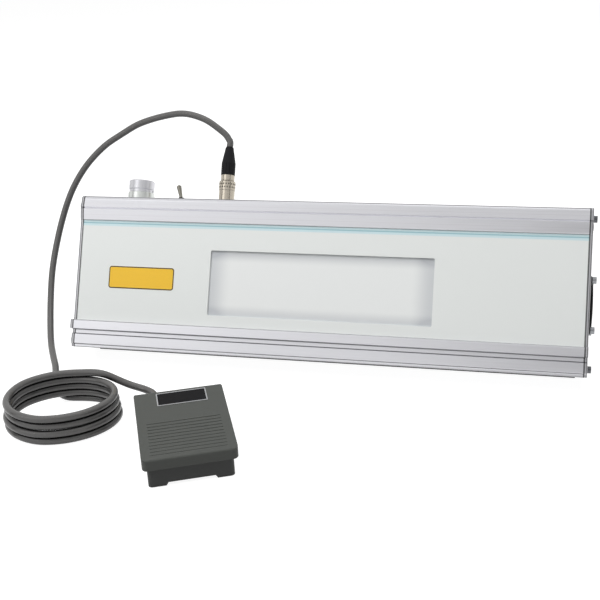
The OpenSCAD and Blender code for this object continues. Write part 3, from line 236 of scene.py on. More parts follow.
@dataclass(frozen=True)
class Finish:
    """One real finish: its colour, its gloss and the fine pattern that its making leaves.

    Sizes are in millimetres. The pattern varies colour and roughness a little and raises
    the surface by bump_mm, and edge_mm rounds the sharp edges of the solids to the eye.
    Each of its lines is an axis, a place on it either side of zero, half a width and the
    share of light that the painted shade of a shut joint or a die's notch leaves there; above 1
    it is a painted highlight along a crease. Painted shade darkens it where something lies
    within crevice_mm, and painted light lightens it in the open.
    """

    name: str
    colour: str
    metallic: float = 0.0
    roughness: float = 0.5
    ior: float = 1.5
    grain: Grain = Grain.MOULDED
    space: Space = Space.ROW
    grain_mm: float = 0.8
    bump_mm: float = 0.02
    colour_play: float = 0.04
    rough_play: float = 0.06
    edge_mm: float = 0.3
    shine: float = 0.5
    crevice_mm: float = 0.0
    lines: tuple = ()

    def stretch(self) -> tuple[float, float, float]:
        """Works out the noise's scale: long along die lines, thin across lathe rings.

        Returns:
            The scale on each axis, in grains for each metre.
        """
        fine = MM_PER_METRE / self.grain_mm
        if self.grain is Grain.EXTRUDED:
            return (fine / DIE_RUN, fine, fine)
        if self.grain is Grain.TURNED:
            return (fine / LATHE_RUN, fine / LATHE_RUN, fine)
        return (fine, fine, fine)

    def colour_socket(self, tree: Tree, pattern: Socket, place: Socket) -> Socket:
        """Lightens and darkens the colour by the pattern; subclasses print on it.

        Args:
            tree: The material's node tree.
            pattern: The fine pattern, about 0 to 1.
            place: The place on the surface, for what a subclass prints.

        Returns:
            The colour.
        """
        value = add_node(tree, "ShaderNodeMapRange", {
            "Value": pattern, "From Min": NOISE_LOW, "From Max": NOISE_HIGH,
            "To Min": 1 - self.colour_play, "To Max": 1 + self.colour_play,
        })
        return add_node(tree, "ShaderNodeHueSaturation", {
            "Value": value.outputs["Result"], "Color": linear(self.colour),
        }).outputs["Color"]

    def paint_line_shade_and_highlight(self, tree: Tree, colour: Socket, place: Socket) -> Socket:
        """Paints shade into the colour along each line, and a highlight along a crease, by how
        far from it a place lies.

        Args:
            tree: The material's node tree.
            colour: The colour beside the lines.
            place: The place on the surface.

        Returns:
            The colour with its lines of painted shade and highlight.
        """
        split = add_node(tree, "ShaderNodeSeparateXYZ", {"Vector": place}).outputs
        for axis, at, half, keep in self.lines:
            away = split[axis]
            for operation, other in (("ABSOLUTE", 0.0), ("SUBTRACT", at * MM), ("ABSOLUTE", 0.0)):
                away = add_node(tree, "ShaderNodeMath", {0: away, 1: other},
                                operation=operation).outputs[0]
            light = add_node(tree, "ShaderNodeMapRange", {
                "Value": away, "From Min": half * MM, "From Max": (half + LINE_FADE) * MM,
                "To Min": keep, "To Max": 1.0,
            })
            colour = add_node(tree, "ShaderNodeHueSaturation", {
                "Value": light.outputs["Result"], "Color": colour}).outputs["Color"]
        return colour

    def paint_crevice_shade(self, tree: Tree, colour: Socket) -> Socket:
        """Paints shade into the colour deep between turns and in hollows, and paints light onto
        it in the open.

        Args:
            tree: The material's node tree.
            colour: The colour before its painted shade and light.

        Returns:
            The colour with its painted shade and light.
        """
        if not self.crevice_mm:
            return colour
        open_share = add_node(tree, "ShaderNodeAmbientOcclusion", {
            "Distance": self.crevice_mm * MM}, samples=CREVICE_SAMPLES).outputs["AO"]
        light = add_node(tree, "ShaderNodeMapRange", {
            "Value": open_share, "From Min": SHUT_SHARE, "From Max": 1.0,
            "To Min": DEEPEST_PAINTED_SHADE, "To Max": OPEN_PAINTED_LIGHT})
        return add_node(tree, "ShaderNodeHueSaturation", {
            "Value": light.outputs["Result"], "Color": colour}).outputs["Color"]

    def build(self) -> bpy.types.Material:
        """Makes the material.

        Returns:
            The Blender material, made once for each finish.
        """
        known = bpy.data.materials.get(self.name)
        if known:
            return known
        mat = bpy.data.materials.new(self.name)
        tree = empty_tree(mat)
        place = place_in(tree, self.space)
        spread = add_node(tree, "ShaderNodeMapping", {"Vector": place, "Scale": self.stretch()})
        noise = add_node(tree, "ShaderNodeTexNoise", {
            "Vector": spread.outputs["Vector"], "Scale": 1.0,
            "Detail": PAINT_DETAIL if self.grain is Grain.PAINTED else OTHER_DETAIL,
            "Roughness": NOISE_ROUGHNESS,
        }).outputs["Fac"]
        rough = add_node(tree, "ShaderNodeMapRange", {
            "Value": noise, "From Min": NOISE_LOW, "From Max": NOISE_HIGH,
            "To Min": max(self.roughness - self.rough_play, LEAST_ROUGHNESS),
            "To Max": min(self.roughness + self.rough_play, 1.0),
        })
        edge = add_node(tree, "ShaderNodeBevel", {"Radius": self.edge_mm * MM},
                        samples=EDGE_SAMPLES)
        bump = add_node(tree, "ShaderNodeBump", {
            "Height": noise, "Strength": 1.0, "Distance": self.bump_mm * MM,
            "Normal": edge.outputs["Normal"],
        })
        # Lines of painted shade, and a painted highlight on a crease, go onto the colour.
        colour = self.paint_line_shade_and_highlight(tree, self.colour_socket(tree, noise, place), place)
        bsdf = add_node(tree, "ShaderNodeBsdfPrincipled", {
            # Painted shade in crevices and painted light in the open go into the base colour.
            "Base Color": self.paint_crevice_shade(tree, colour),
            "Roughness": rough.outputs["Result"], "Normal": bump.outputs["Normal"],
            "Metallic": self.metallic,
        })
        if self.metallic < HALF_METAL:
            bsdf.inputs["IOR"].default_value = self.ior
        bsdf.inputs["Specular IOR Level"].default_value = self.shine
        add_node(tree, "ShaderNodeOutputMaterial", {"Surface": bsdf.outputs["BSDF"]})
        return mat


@dataclass(frozen=True)
class PrintedPanel(Finish):
    """White panel film with a thin teal line between pale bands, just under the top rail.

    The print runs from band_low to band_high, in metres up the face. The ranges of its
    colours are shares of that height.
    """

    band_low: float = 0.1345
    band_high: float = 0.1412
    teal: str = "#9CC2CB"
    pale: str = "#CFE6EA"
    lower_pale: tuple = (0.16, 0.40)
    teal_line: tuple = (0.48, 0.60)
    upper_pale: tuple = (0.68, 1.0)

    def colour_socket(self, tree: Tree, pattern: Socket, place: Socket) -> Socket:
        """Prints the bands by height up the face: white, pale, teal, pale to the rail.

        Args:
            tree: The material's node tree.
            pattern: The fine pattern, about 0 to 1.
            place: The place on the surface, in the case's frame.

        Returns:
            The colour.
        """
        height = add_node(tree, "ShaderNodeSeparateXYZ", {"Vector": place}).outputs["Z"]
        part = add_node(tree, "ShaderNodeMapRange", {
            "Value": height, "From Min": self.band_low, "From Max": self.band_high,
        })
        ramp = add_node(tree, "ShaderNodeValToRGB", {"Fac": part.outputs["Result"]})
        stops = [(0.0, self.colour)]
        for span, colour in ((self.lower_pale, self.pale), (self.teal_line, self.teal),
                             (self.upper_pale, self.pale)):
            stops += [(share, colour) for share in span]
        band = ramp.color_ramp
        # The middle is only where a new stop starts; the next loop sets its place.
        while len(band.elements) < len(stops):
            band.elements.new(0.5)
        for element, (spot, colour) in zip(band.elements, stops):
            element.position = spot
            element.color = linear(colour)
        value = add_node(tree, "ShaderNodeMapRange", {
            "Value": pattern, "To Min": 1 - self.colour_play, "To Max": 1 + self.colour_play,
        })
        return add_node(tree, "ShaderNodeHueSaturation", {
            "Value": value.outputs["Result"], "Color": ramp.outputs["Color"],
        }).outputs["Color"]


@dataclass(frozen=True)
class OpalWindow(Finish):
    """Frosted acrylic with painted shade that greys it towards the edges of the window, where
    less light comes.

    Lengths are in metres: half the window's width and height, its middle up the face, and
    how far in from each edge the painted shade reaches. Its share of the edge colour is
    edge_share.
    """

    edge_colour: str = "#BFC2C6"
    half_w: float = 0.120
    half_h: float = 0.035
    mid_z: float = 0.077
    soft_w: float = 0.024
    soft_h: float = 0.0132
    edge_share: float = 0.7

    def colour_socket(self, tree: Tree, pattern: Socket, place: Socket) -> Socket:
        """Paints shade by mixing towards the edge colour by the distance from the window's middle
        lines.

        Args:
            tree: The material's node tree.
            pattern: The fine pattern, which this finish doesn't colour by.
            place: The place on the surface, in the case's frame.

        Returns:
            The colour.
        """
        split = add_node(tree, "ShaderNodeSeparateXYZ", {"Vector": place})
        lift = add_node(tree, "ShaderNodeMath", {0: split.outputs["Z"], 1: self.mid_z},
                        operation="SUBTRACT").outputs[0]
        shades = []
        for value, half, soft in ((split.outputs["X"], self.half_w, self.soft_w),
                                  (lift, self.half_h, self.soft_h)):
            far = add_node(tree, "ShaderNodeMath", {0: value}, operation="ABSOLUTE").outputs[0]
            shade = add_node(tree, "ShaderNodeMapRange", {
                "Value": far, "From Min": half - soft, "From Max": half,
                "To Max": self.edge_share,
            }, interpolation_type="SMOOTHSTEP")
            shades.append(shade.outputs["Result"])
        both = add_node(tree, "ShaderNodeMath", {0: shades[0], 1: shades[1]}, operation="ADD",
                        use_clamp=True).outputs[0]
        return add_node(tree, "ShaderNodeMix", {
            "Factor": both, "A": linear(self.colour), "B": linear(self.edge_colour),
        }, data_type="RGBA").outputs["Result"]


# Painted shade along the joints and notches of the rails and end plates, in millimetres from the
# middle or from the foot of the case. Where the last number is above 1, the line is a painted
# highlight along a crease.
JOINT_SHADE_LINES = (("X", 270.7, 0.45, 0.16),)
PLATE_SHADE_LINES = (("X", 271.2, 0.35, 0.25), ("X", 273.1, 0.25, 0.3))
RAIL_SHADE_AND_HIGHLIGHT_LINES = JOINT_SHADE_LINES + (
    ("Z", 0.4, 0.4, 0.42), ("Z", 3.5, 0.45, 0.32), ("Z", 15.0, 0.35, 0.5),
    ("Z", 19.4, 0.45, 0.34), ("Z", 29.4, 0.3, 0.65), ("Z", 140.9, 0.45, 0.42),
    ("Z", 147.0, 0.15, 0.94), ("Z", 154.3, 0.6, 1.2), ("Z", 159.8, 0.15, 0.94),
    ("Z", 167.0, 0.4, 0.4))
# Anodised extrusions: pale satin metal, drawn out in faint long lines, with painted shade along
# its joints and notches and a painted highlight along its crease.
ANODISED = Finish("anodised_aluminium_extrusion", "#D3D3D7", metallic=1.0, roughness=0.36,
                  grain=Grain.EXTRUDED, space=Space.CASE, grain_mm=0.5, bump_mm=0.004,
                  colour_play=0.025, rough_play=0.04, edge_mm=0.25, lines=RAIL_SHADE_AND_HIGHLIGHT_LINES)
# Anodised plate, sheared and blasted: a little darker and duller than the rails, with painted
# shade along its joint and edges.
PLATE = Finish("anodised_aluminium_plate", "#BBBBBE", metallic=1.0, roughness=0.42,
               grain=Grain.MOULDED, space=Space.CASE, grain_mm=0.6, bump_mm=0.004,
               edge_mm=0.3, lines=PLATE_SHADE_LINES)
# Bare extruded aluminium of the heat sink and brackets: grey with long die lines.
BARE = Finish("bare_aluminium_extrusion", "#B4B5B7", metallic=1.0, roughness=0.45,
              grain=Grain.EXTRUDED, space=Space.CASE, grain_mm=0.5, bump_mm=0.005)
# Printed polyester film on the front panel: white with a faint green cast, satin, with painted
# shade at its ends by the end plates.
PANEL = PrintedPanel("printed_panel_film", "#E9ECEA", roughness=0.42, grain=Grain.PAINTED,
                     space=Space.CASE, grain_mm=1.6, bump_mm=0.003, colour_play=0.006,
                     edge_mm=0.2, lines=JOINT_SHADE_LINES)
# Sprayed white paint of the back panel: low orange peel.
PAINT = Finish("sprayed_white_paint", "#D9DCDA", roughness=0.45, grain=Grain.PAINTED,
               grain_mm=1.4, bump_mm=0.008, colour_play=0.012)
# Frosted opal acrylic: soft and even, a touch of gloss on the skin, with painted shade towards
# the window's edges.
OPAL = OpalWindow("frosted_opal_acrylic", "#EEF0EF", roughness=0.38, ior=1.49,
                  grain=Grain.SMOOTH, space=Space.CASE, grain_mm=2.0, bump_mm=0.002)
# Lathe-turned and anodised knob: bright, with fine rings round it.
TURNED = Finish("turned_anodised_knob", "#D2D2D6", metallic=1.0, roughness=0.36,
                grain=Grain.TURNED, space=Space.CASE, grain_mm=0.7, bump_mm=0.0005,
                colour_play=0.015, rough_play=0.02, edge_mm=0.3)
# Diamond-cut collar under the knob: brighter than the knob itself.
CUT = Finish("bright_cut_aluminium", "#D6D9D6", metallic=1.0, roughness=0.3,
             grain=Grain.TURNED, space=Space.CASE, grain_mm=0.7, bump_mm=0.0005,
             colour_play=0.01, rough_play=0.02, edge_mm=0.3)
# Nickel plate on turned brass: warm grey mirror, slightly clouded, with painted shade in its
# hollows and painted light where it lies open.
NICKEL = Finish("nickel_plated_brass", "#A59E92", metallic=1.0, roughness=0.2,
                grain=Grain.TURNED, space=Space.CASE, grain_mm=0.8, bump_mm=0.001,
                colour_play=0.03, rough_play=0.03, edge_mm=0.15, crevice_mm=2.5)
# Dulled nickel of the toggle's lever, greyer where fingers wear it.
WORN = Finish("dulled_nickel_plate", "#8F8C83", metallic=1.0, roughness=0.3,
              grain=Grain.SMOOTH, grain_mm=0.8, bump_mm=0.001, colour_play=0.03, edge_mm=0.2)
# Zinc plated steel of small screws: cool grey, cloudy.
ZINC = Finish("zinc_plated_steel", "#929497", metallic=1.0, roughness=0.3,
              grain=Grain.SMOOTH, grain_mm=0.7, bump_mm=0.004, edge_mm=0.2)
# Black-tinted zinc of the end screws.
TINTED = Finish("black_zinc_steel", "#5E5F62", metallic=1.0, roughness=0.28,
                grain=Grain.SMOOTH, grain_mm=0.7, bump_mm=0.004, edge_mm=0.2)
# Bright chrome plate on bent round bar.
CHROME = Finish("chrome_plated_steel", "#C4C6C9", metallic=1.0, roughness=0.12,
                grain=Grain.SMOOTH, grain_mm=3.0, bump_mm=0.002, edge_mm=0.2)
# Black oxide on steel: dark, a low oily gleam.
BLACKENED = Finish("black_oxide_steel", "#1A1A1C", metallic=0.0, roughness=0.42, shine=0.35,
                   grain=Grain.SMOOTH, grain_mm=0.6, bump_mm=0.004, edge_mm=0.2)
# Moulded black nylon and ABS: fine even texture, dull.
BLACK_ABS = Finish("moulded_black_abs", "#161618", roughness=0.5, ior=1.53, shine=0.3,
                   grain=Grain.MOULDED, grain_mm=0.5, bump_mm=0.012, edge_mm=0.25)
# Soft black rubber of boot, feet and sleeves: matte, with painted shade in its grooves and
# painted light where it lies open.
RUBBER = Finish("matte_black_rubber", "#0F0F11", roughness=0.6, ior=1.52, shine=0.2,
                grain=Grain.MOULDED, grain_mm=0.9, bump_mm=0.015, edge_mm=0.4,
                crevice_mm=2.5)
# Grey PVC sheath: smooth, with a soft long highlight, painted shade between piled turns and
# painted light where it lies open.
SHEATH = Finish("grey_pvc_sheath", "#4E4D4C", roughness=0.22, ior=1.53, shine=0.5,
                grain=Grain.SMOOTH, grain_mm=1.2, bump_mm=0.003, colour_play=0.03,
                crevice_mm=7.0)
# Enamelled die casting of the tread: grey-green, satin, finely pebbled.
TREAD = Finish("grey_enamelled_casting", "#4A4C49", roughness=0.5, ior=1.5, shine=0.25,
               grain=Grain.PAINTED, space=Space.PEDAL, grain_mm=0.7, bump_mm=0.01,
               colour_play=0.03, edge_mm=0.8)
# Darker moulded base of the pedal.
BASE = Finish("dark_grey_moulded_base", "#3C3D3C", roughness=0.52, ior=1.53, shine=0.25,
              grain=Grain.MOULDED, space=Space.PEDAL, grain_mm=0.7, bump_mm=0.012,
              edge_mm=0.7)
# Green solder resist on glass epoxy board.
RESIST = Finish("green_solder_resist", "#1F5A38", roughness=0.3, ior=1.55,
                grain=Grain.SMOOTH, grain_mm=1.5, bump_mm=0.004)
# White moulded light frame: matte and bright.
WHITE_ABS = Finish("moulded_white_abs", "#E4E4E0", roughness=0.6, ior=1.53,
                   grain=Grain.MOULDED, grain_mm=0.8, bump_mm=0.01)
# Red moulded plunger.
RED_ABS = Finish("moulded_red_abs", "#A02018", roughness=0.4, ior=1.53, grain_mm=0.5)
# Amber vinyl label film: flat warm yellow, a slight gloss.
AMBER = Finish("amber_label_film", "#F3C233", roughness=0.45, grain=Grain.PAINTED,
               grain_mm=1.5, bump_mm=0.002, colour_play=0.015, edge_mm=0.05)
# Dark ink of a keyline.
INK = Finish("dark_label_ink", "#2A2620", roughness=0.5, grain=Grain.PAINTED,
             grain_mm=1.5, bump_mm=0.001, edge_mm=0.05)
# Anodised name plate, left blank: satin black with a bare bright border.
PLATE_BLACK = Finish("black_anodised_plate", "#0E0E10", roughness=0.5, shine=0.1,
                     grain=Grain.SMOOTH, grain_mm=1.0, bump_mm=0.002, edge_mm=0.05)
PLATE_EDGE = Finish("bare_aluminium_border", "#B9BABC", metallic=1.0, roughness=0.35,
                    grain=Grain.SMOOTH, grain_mm=1.0, bump_mm=0.002, edge_mm=0.05)


@dataclass(frozen=True)
class SubAssembly:
    """Solids of the CAD model that are put together as one unit, each with its finish."""

    name: str
    finishes: dict

    def dress(self, nodes: dict) -> None:
        """Gives every solid of the unit its finish.

        Args:
            nodes: The CAD nodes' objects by name.
        """
        for name, finish in self.finishes.items():
            obj = nodes[name]
            mat = finish.build()
            for slot in obj.material_slots:
                slot.material = mat
            if not obj.material_slots:
                obj.data.materials.append(mat)
            LOG.info("%s, %s: %s", self.name, name, finish.name)


SUB_ASSEMBLIES = (
    SubAssembly("case", {
        "top_extrusion": ANODISED, "bottom_extrusion": ANODISED, "foot_strip": RUBBER,
        "front_panel": PANEL, "back_panel": PAINT, "back_panel_screws": ZINC,
        "left_end_plate": PLATE, "right_end_plate": PLATE,
        "left_end_screws": TINTED, "right_end_screws": TINTED,
    }),
    SubAssembly("light", {
        "window_diffuser": OPAL, "light_frame": WHITE_ABS, "led_board": RESIST,
        "heat_sink": BARE, "lamp_brackets": BARE,
    }),
    SubAssembly("fan", {
        "fan_frame": BLACK_ABS, "fan_rotor": BLACK_ABS, "fan_guard": BLACKENED,
        "fan_screws": ZINC,
    }),
    SubAssembly("power", {
        "mains_inlet": BLACK_ABS, "inlet_screws": ZINC, "driver_bracket": BARE,
        "driver_board": RESIST, "driver_screw": ZINC,
    }),
    SubAssembly("controls", {
        "dimmer_body": BLACK_ABS, "dimmer_nut": NICKEL, "knob_shaft": NICKEL,
        "brightness_knob": TURNED, "knob_collar": CUT, "knob_grub_screw": BLACKENED,
        "toggle_body": BLACK_ABS, "toggle_nut": NICKEL, "toggle_lever": WORN,
    }),
    SubAssembly("connector", {
        "panel_socket": NICKEL, "socket_nut": NICKEL, "plug_shell": NICKEL,
        "coupling_ring": NICKEL, "plug_boot": RUBBER,
    }),
    SubAssembly("stand", {
        "rear_stand": CHROME, "stand_hinge_blocks": BLACK_ABS, "stand_block_screws": ZINC,
        "stand_sleeves": RUBBER,
    }),
    SubAssembly("pedal", {
        "pedal_base": BASE, "pedal_tread": TREAD, "pedal_pin": ZINC, "pedal_gland": RUBBER,
        "pedal_feet": RUBBER, "switch_body": BLACK_ABS, "switch_plunger": RED_ABS,
        "switch_screws": ZINC, "return_spring": ZINC,
    }),
)


def make_piece(name: str, verts: np.ndarray, faces: list, finish: Finish, body: str,
               smooth: bool = False) -> bpy.types.Object:
    """Puts computed arrays into a mesh object that rides on a body.

    Args:
        name: The piece's name.
        verts: An n by 3 array of points in the row's frame, in metres.
        faces: Rows of vertex numbers, facing outwards.
        finish: The piece's finish.
        body: The CAD body that it moves with.
        smooth: Whether the faces are shaded smooth.

    Returns:
        The new object.
    """
    mesh = bpy.data.meshes.new(name)
    mesh.from_pydata(verts.tolist(), [], [list(map(int, f)) for f in faces])
    mesh.polygons.foreach_set("use_smooth", [smooth] * len(mesh.polygons))
    mesh.materials.append(finish.build())
    mesh.update()
    obj = bpy.data.objects.new(name, mesh)
    bpy.context.scene.collection.objects.link(obj)
    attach(obj, body)
    LOG.info("%s: %d faces on %s", name, len(mesh.polygons), body)
    return obj


def run_along(way: np.ndarray) -> np.ndarray:
    """Adds up the steps of a way: the distance from its start at each of its points."""
    return np.r_[0, np.cumsum(np.linalg.norm(np.diff(way, axis=0), axis=1))]


def sweep(way: np.ndarray, radius: float, sides: int) -> tuple[np.ndarray, list]:
    """Sweeps a circle along a way, square to it and with no twist, and caps its ends.

    Args:
        way: An n by 3 array of points along the middle, in metres.
        radius: The circle's radius, in metres.
        sides: How many points stand round it.

    Returns:
        Points and faces of the closed tube.
    """
    ahead = unit(np.gradient(way, axis=0))
    side = np.zeros_like(way)
    side[0] = unit(np.cross(ahead[0], SIDE_HINT))
    for i in range(1, len(way)):
        step = side[i - 1] - ahead[i] * float(side[i - 1] @ ahead[i])
        side[i] = step / np.linalg.norm(step)
    over = np.cross(ahead, side)
    angle = np.linspace(0, 2 * np.pi, sides, endpoint=False)
    ring = (way[:, None] + radius * (np.cos(angle)[None, :, None] * side[:, None]
                                     + np.sin(angle)[None, :, None] * over[:, None]))
    number = np.arange(len(way) * sides).reshape(len(way), sides)
    a, b = number[:-1], number[1:]
    walls = np.stack([a, np.roll(a, -1, 1), np.roll(b, -1, 1), b], -1).reshape(-1, 4)
    return ring.reshape(-1, 3), [*walls, number[0][::-1], number[-1]]


def stage_sheet(name: str, material: str, verts: np.ndarray) -> tuple[bpy.types.Object, Tree]:
    """Makes a flat four-cornered piece of the stage.

    Args:
        name: Its name.
        material: Its material's name.
        verts: Its corners, counter-clockwise as seen from its lit side, in metres.

    Returns:
        The object, and its material's tree, still empty.
    """
    mesh = bpy.data.meshes.new(name)
    mesh.from_pydata(verts.tolist(), [], [[0, 1, 2, 3]])
    mat = bpy.data.materials.new(material)
    tree = empty_tree(mat)
    mesh.materials.append(mat)
    sheet = bpy.data.objects.new(name, mesh)
    bpy.context.scene.collection.objects.link(sheet)
    return sheet, tree


@dataclass(frozen=True)
class Lamp:
    """A square area lamp: its place, its target and its side in metres, and its watts."""

    name: str
    spot: tuple
    target: tuple
    side: float
    watts: float

    def hang(self) -> None:
        """Hangs the lamp, turned towards its target and unseen in polished metal."""
        data = bpy.data.lights.new(self.name, "AREA")
        data.shape = "SQUARE"
        data.size = self.side
        data.energy = self.watts
        lamp = bpy.data.objects.new(self.name, data)
        lamp.visible_glossy = False
        axes = axes_along(np.array(self.spot) - np.array(self.target))
        lamp.matrix_world = placed(*axes, self.spot)
        bpy.context.scene.collection.objects.link(lamp)


@dataclass(frozen=True)
class Card:
    """A card that only polished surfaces mirror: its place and target, its width and height
    in metres, and how bright it is, where 1 is white."""

    name: str
    spot: tuple
    target: tuple
    wide: float
    high: float
    bright: float

    def stand(self) -> None:
        """Stands the card, turned towards its target."""
        across, above, _ = axes_along(np.array(self.target) - np.array(self.spot))
        verts = [np.array(self.spot) + a * across * self.wide / 2 + b * above * self.high / 2
                 for a, b in ((-1, -1), (1, -1), (1, 1), (-1, 1))]
        card, tree = stage_sheet(self.name, self.name, np.array(verts))
        glow = add_node(tree, "ShaderNodeEmission", {"Color": WHITE, "Strength": self.bright})
        add_node(tree, "ShaderNodeOutputMaterial", {"Surface": glow.outputs[0]})
        card.visible_camera = card.visible_diffuse = card.visible_shadow = False
        card.visible_transmission = False


@dataclass
class Studio:
    """Pale floor, soft lamps, grey cards and the photograph's camera.

    Lengths are in metres, angles in degrees. The world lights at the ambient strength. The
    floor is plain to the lamps' bounced light, and shade and glow together give the white
    that is seen.
    """

    focal_px: float = 987.583
    frame_px: float = 600.0
    azimuth: float = -14.251
    elevation: float = 22.239
    roll: float = -2.787
    eye: tuple = (0.217669, -0.95991, 0.474102)
    sensor_mm: float = 36.0
    nearest: float = 0.01
    ambient: float = 0.16
    floor_half: float = 6.0
    floor_drop: float = 0.0004
    floor_plain: float = 0.5
    floor_shade: float = 0.34
    floor_glow: float = 0.92
    lamps: tuple = (
        Lamp("key_lamp", (-1.1, -1.3, 2.1), (-0.05, -0.05, 0.08), 1.4, 30.0),
        Lamp("fill_lamp", (1.6, -1.0, 1.5), (0.0, -0.05, 0.08), 1.4, 1.5),
        Lamp("top_lamp", (0.0, -0.1, 2.3), (0.0, -0.05, 0.05), 1.8, 35.0),
        Lamp("back_lamp", (-0.8, 1.8, 1.2), (0.0, 0.05, 0.08), 1.2, 7.0),
    )
    cards: tuple = (
        Card("doorway_card", (0.55, -1.5, 0.7), (0.2, -0.07, 0.06), 0.9, 0.42, 0.2),
        Card("side_card", (1.5, -1.3, 0.9), (0.1, -0.05, 0.1), 1.8, 1.6, 0.8),
        Card("window_card", (-1.62, -1.5, 1.5), (-0.2, -0.07, 0.1), 1.8, 1.3, 1.8),
        Card("left_strip_card", (-1.5, -0.7, 0.8), (0.0, -0.05, 0.2), 0.3, 2.0, 0.05),
        Card("right_strip_card", (1.3, -0.62, 0.8), (0.0, -0.05, 0.2), 0.22, 2.0, 0.05),
        Card("haze_card", (0.3, -1.6, 2.05), (0.1, -0.07, 0.1), 1.4, 1.0, 0.72),
        Card("ceiling_card", (-0.1, 0.1, 2.3), (0.0, 0.0, 0.1), 1.1, 0.9, 1.7),
    )

    def make_camera(self) -> None:
        """Sets the camera from its azimuth, elevation and roll, and the lens from its focal
        length in pixels over the frame's width."""
        az, el, ro = (math.radians(v) for v in (self.azimuth, self.elevation, self.roll))
        ahead = np.array([math.sin(az) * math.cos(el), math.cos(az) * math.cos(el),
                          -math.sin(el)])
        right = np.array([math.cos(az), -math.sin(az), 0.0])
        above = np.cross(right, ahead)
        across = right * math.cos(ro) + above * math.sin(ro)
        up = above * math.cos(ro) - right * math.sin(ro)
        data = bpy.data.cameras.new("photo_camera")
        data.sensor_width = self.sensor_mm
        data.lens = self.focal_px / self.frame_px * self.sensor_mm
        data.clip_start = self.nearest
        camera = bpy.data.objects.new("photo_camera", data)
        camera.matrix_world = placed(across, up, -ahead, self.eye)
        bpy.context.scene.collection.objects.link(camera)
        bpy.context.scene.camera = camera

    @staticmethod
    def seen_ray(tree: Tree) -> Socket:
        """Tells the rays that see the background: camera, glossy and transmission rays.

        Args:
            tree: The node tree.

        Returns:
            1 on such a ray, otherwise 0.
        """
        path = add_node(tree, "ShaderNodeLightPath").outputs
        first = add_node(tree, "ShaderNodeMath", {
            0: path["Is Camera Ray"], 1: path["Is Glossy Ray"]}, operation="MAXIMUM")
        return add_node(tree, "ShaderNodeMath", {
            0: first.outputs[0], 1: path["Is Transmission Ray"]},
            operation="MAXIMUM").outputs[0]

    def make_world(self) -> None:
        """Lights evenly from all round, and shows plain white where nothing stands."""
        world = bpy.data.worlds.new("white_studio")
        tree = empty_tree(world)
        dim = add_node(tree, "ShaderNodeBackground", {"Color": WHITE, "Strength": self.ambient})
        seen = add_node(tree, "ShaderNodeBackground", {"Color": WHITE, "Strength": 1.0})
        mix = add_node(tree, "ShaderNodeMixShader", {
            0: self.seen_ray(tree), 1: dim.outputs[0], 2: seen.outputs[0]})
        add_node(tree, "ShaderNodeOutputWorld", {"Surface": mix.outputs[0]})
        bpy.context.scene.world = world

    def make_floor(self) -> None:
        """Lays a wide pale floor that keeps the object's soft shadow."""
        corners = np.array([[-1, -1, 0], [1, -1, 0], [1, 1, 0], [-1, 1, 0]], float)
        _, tree = stage_sheet("studio_floor", "matte_white_floor",
                              corners * self.floor_half - [0, 0, self.floor_drop])
        plain, shade = (
            add_node(tree, "ShaderNodeBsdfDiffuse", {"Color": (grey, grey, grey, 1)})
            for grey in (self.floor_plain, self.floor_shade))
        glow = add_node(tree, "ShaderNodeEmission", {"Color": WHITE, "Strength": self.floor_glow})
        both = add_node(tree, "ShaderNodeAddShader", {0: shade.outputs[0], 1: glow.outputs[0]})
        mix = add_node(tree, "ShaderNodeMixShader", {
            0: self.seen_ray(tree), 1: plain.outputs[0], 2: both.outputs[0]})
        add_node(tree, "ShaderNodeOutputMaterial", {"Surface": mix.outputs[0]})

    def build(self) -> None:
        """Makes the camera first, then lamps, cards, world and floor."""
        self.make_camera()
        for lamp in self.lamps:
            lamp.hang()
        for card in self.cards:
            card.stand()
        self.make_world()
        self.make_floor()
        bpy.context.scene.view_settings.view_transform = "Standard"


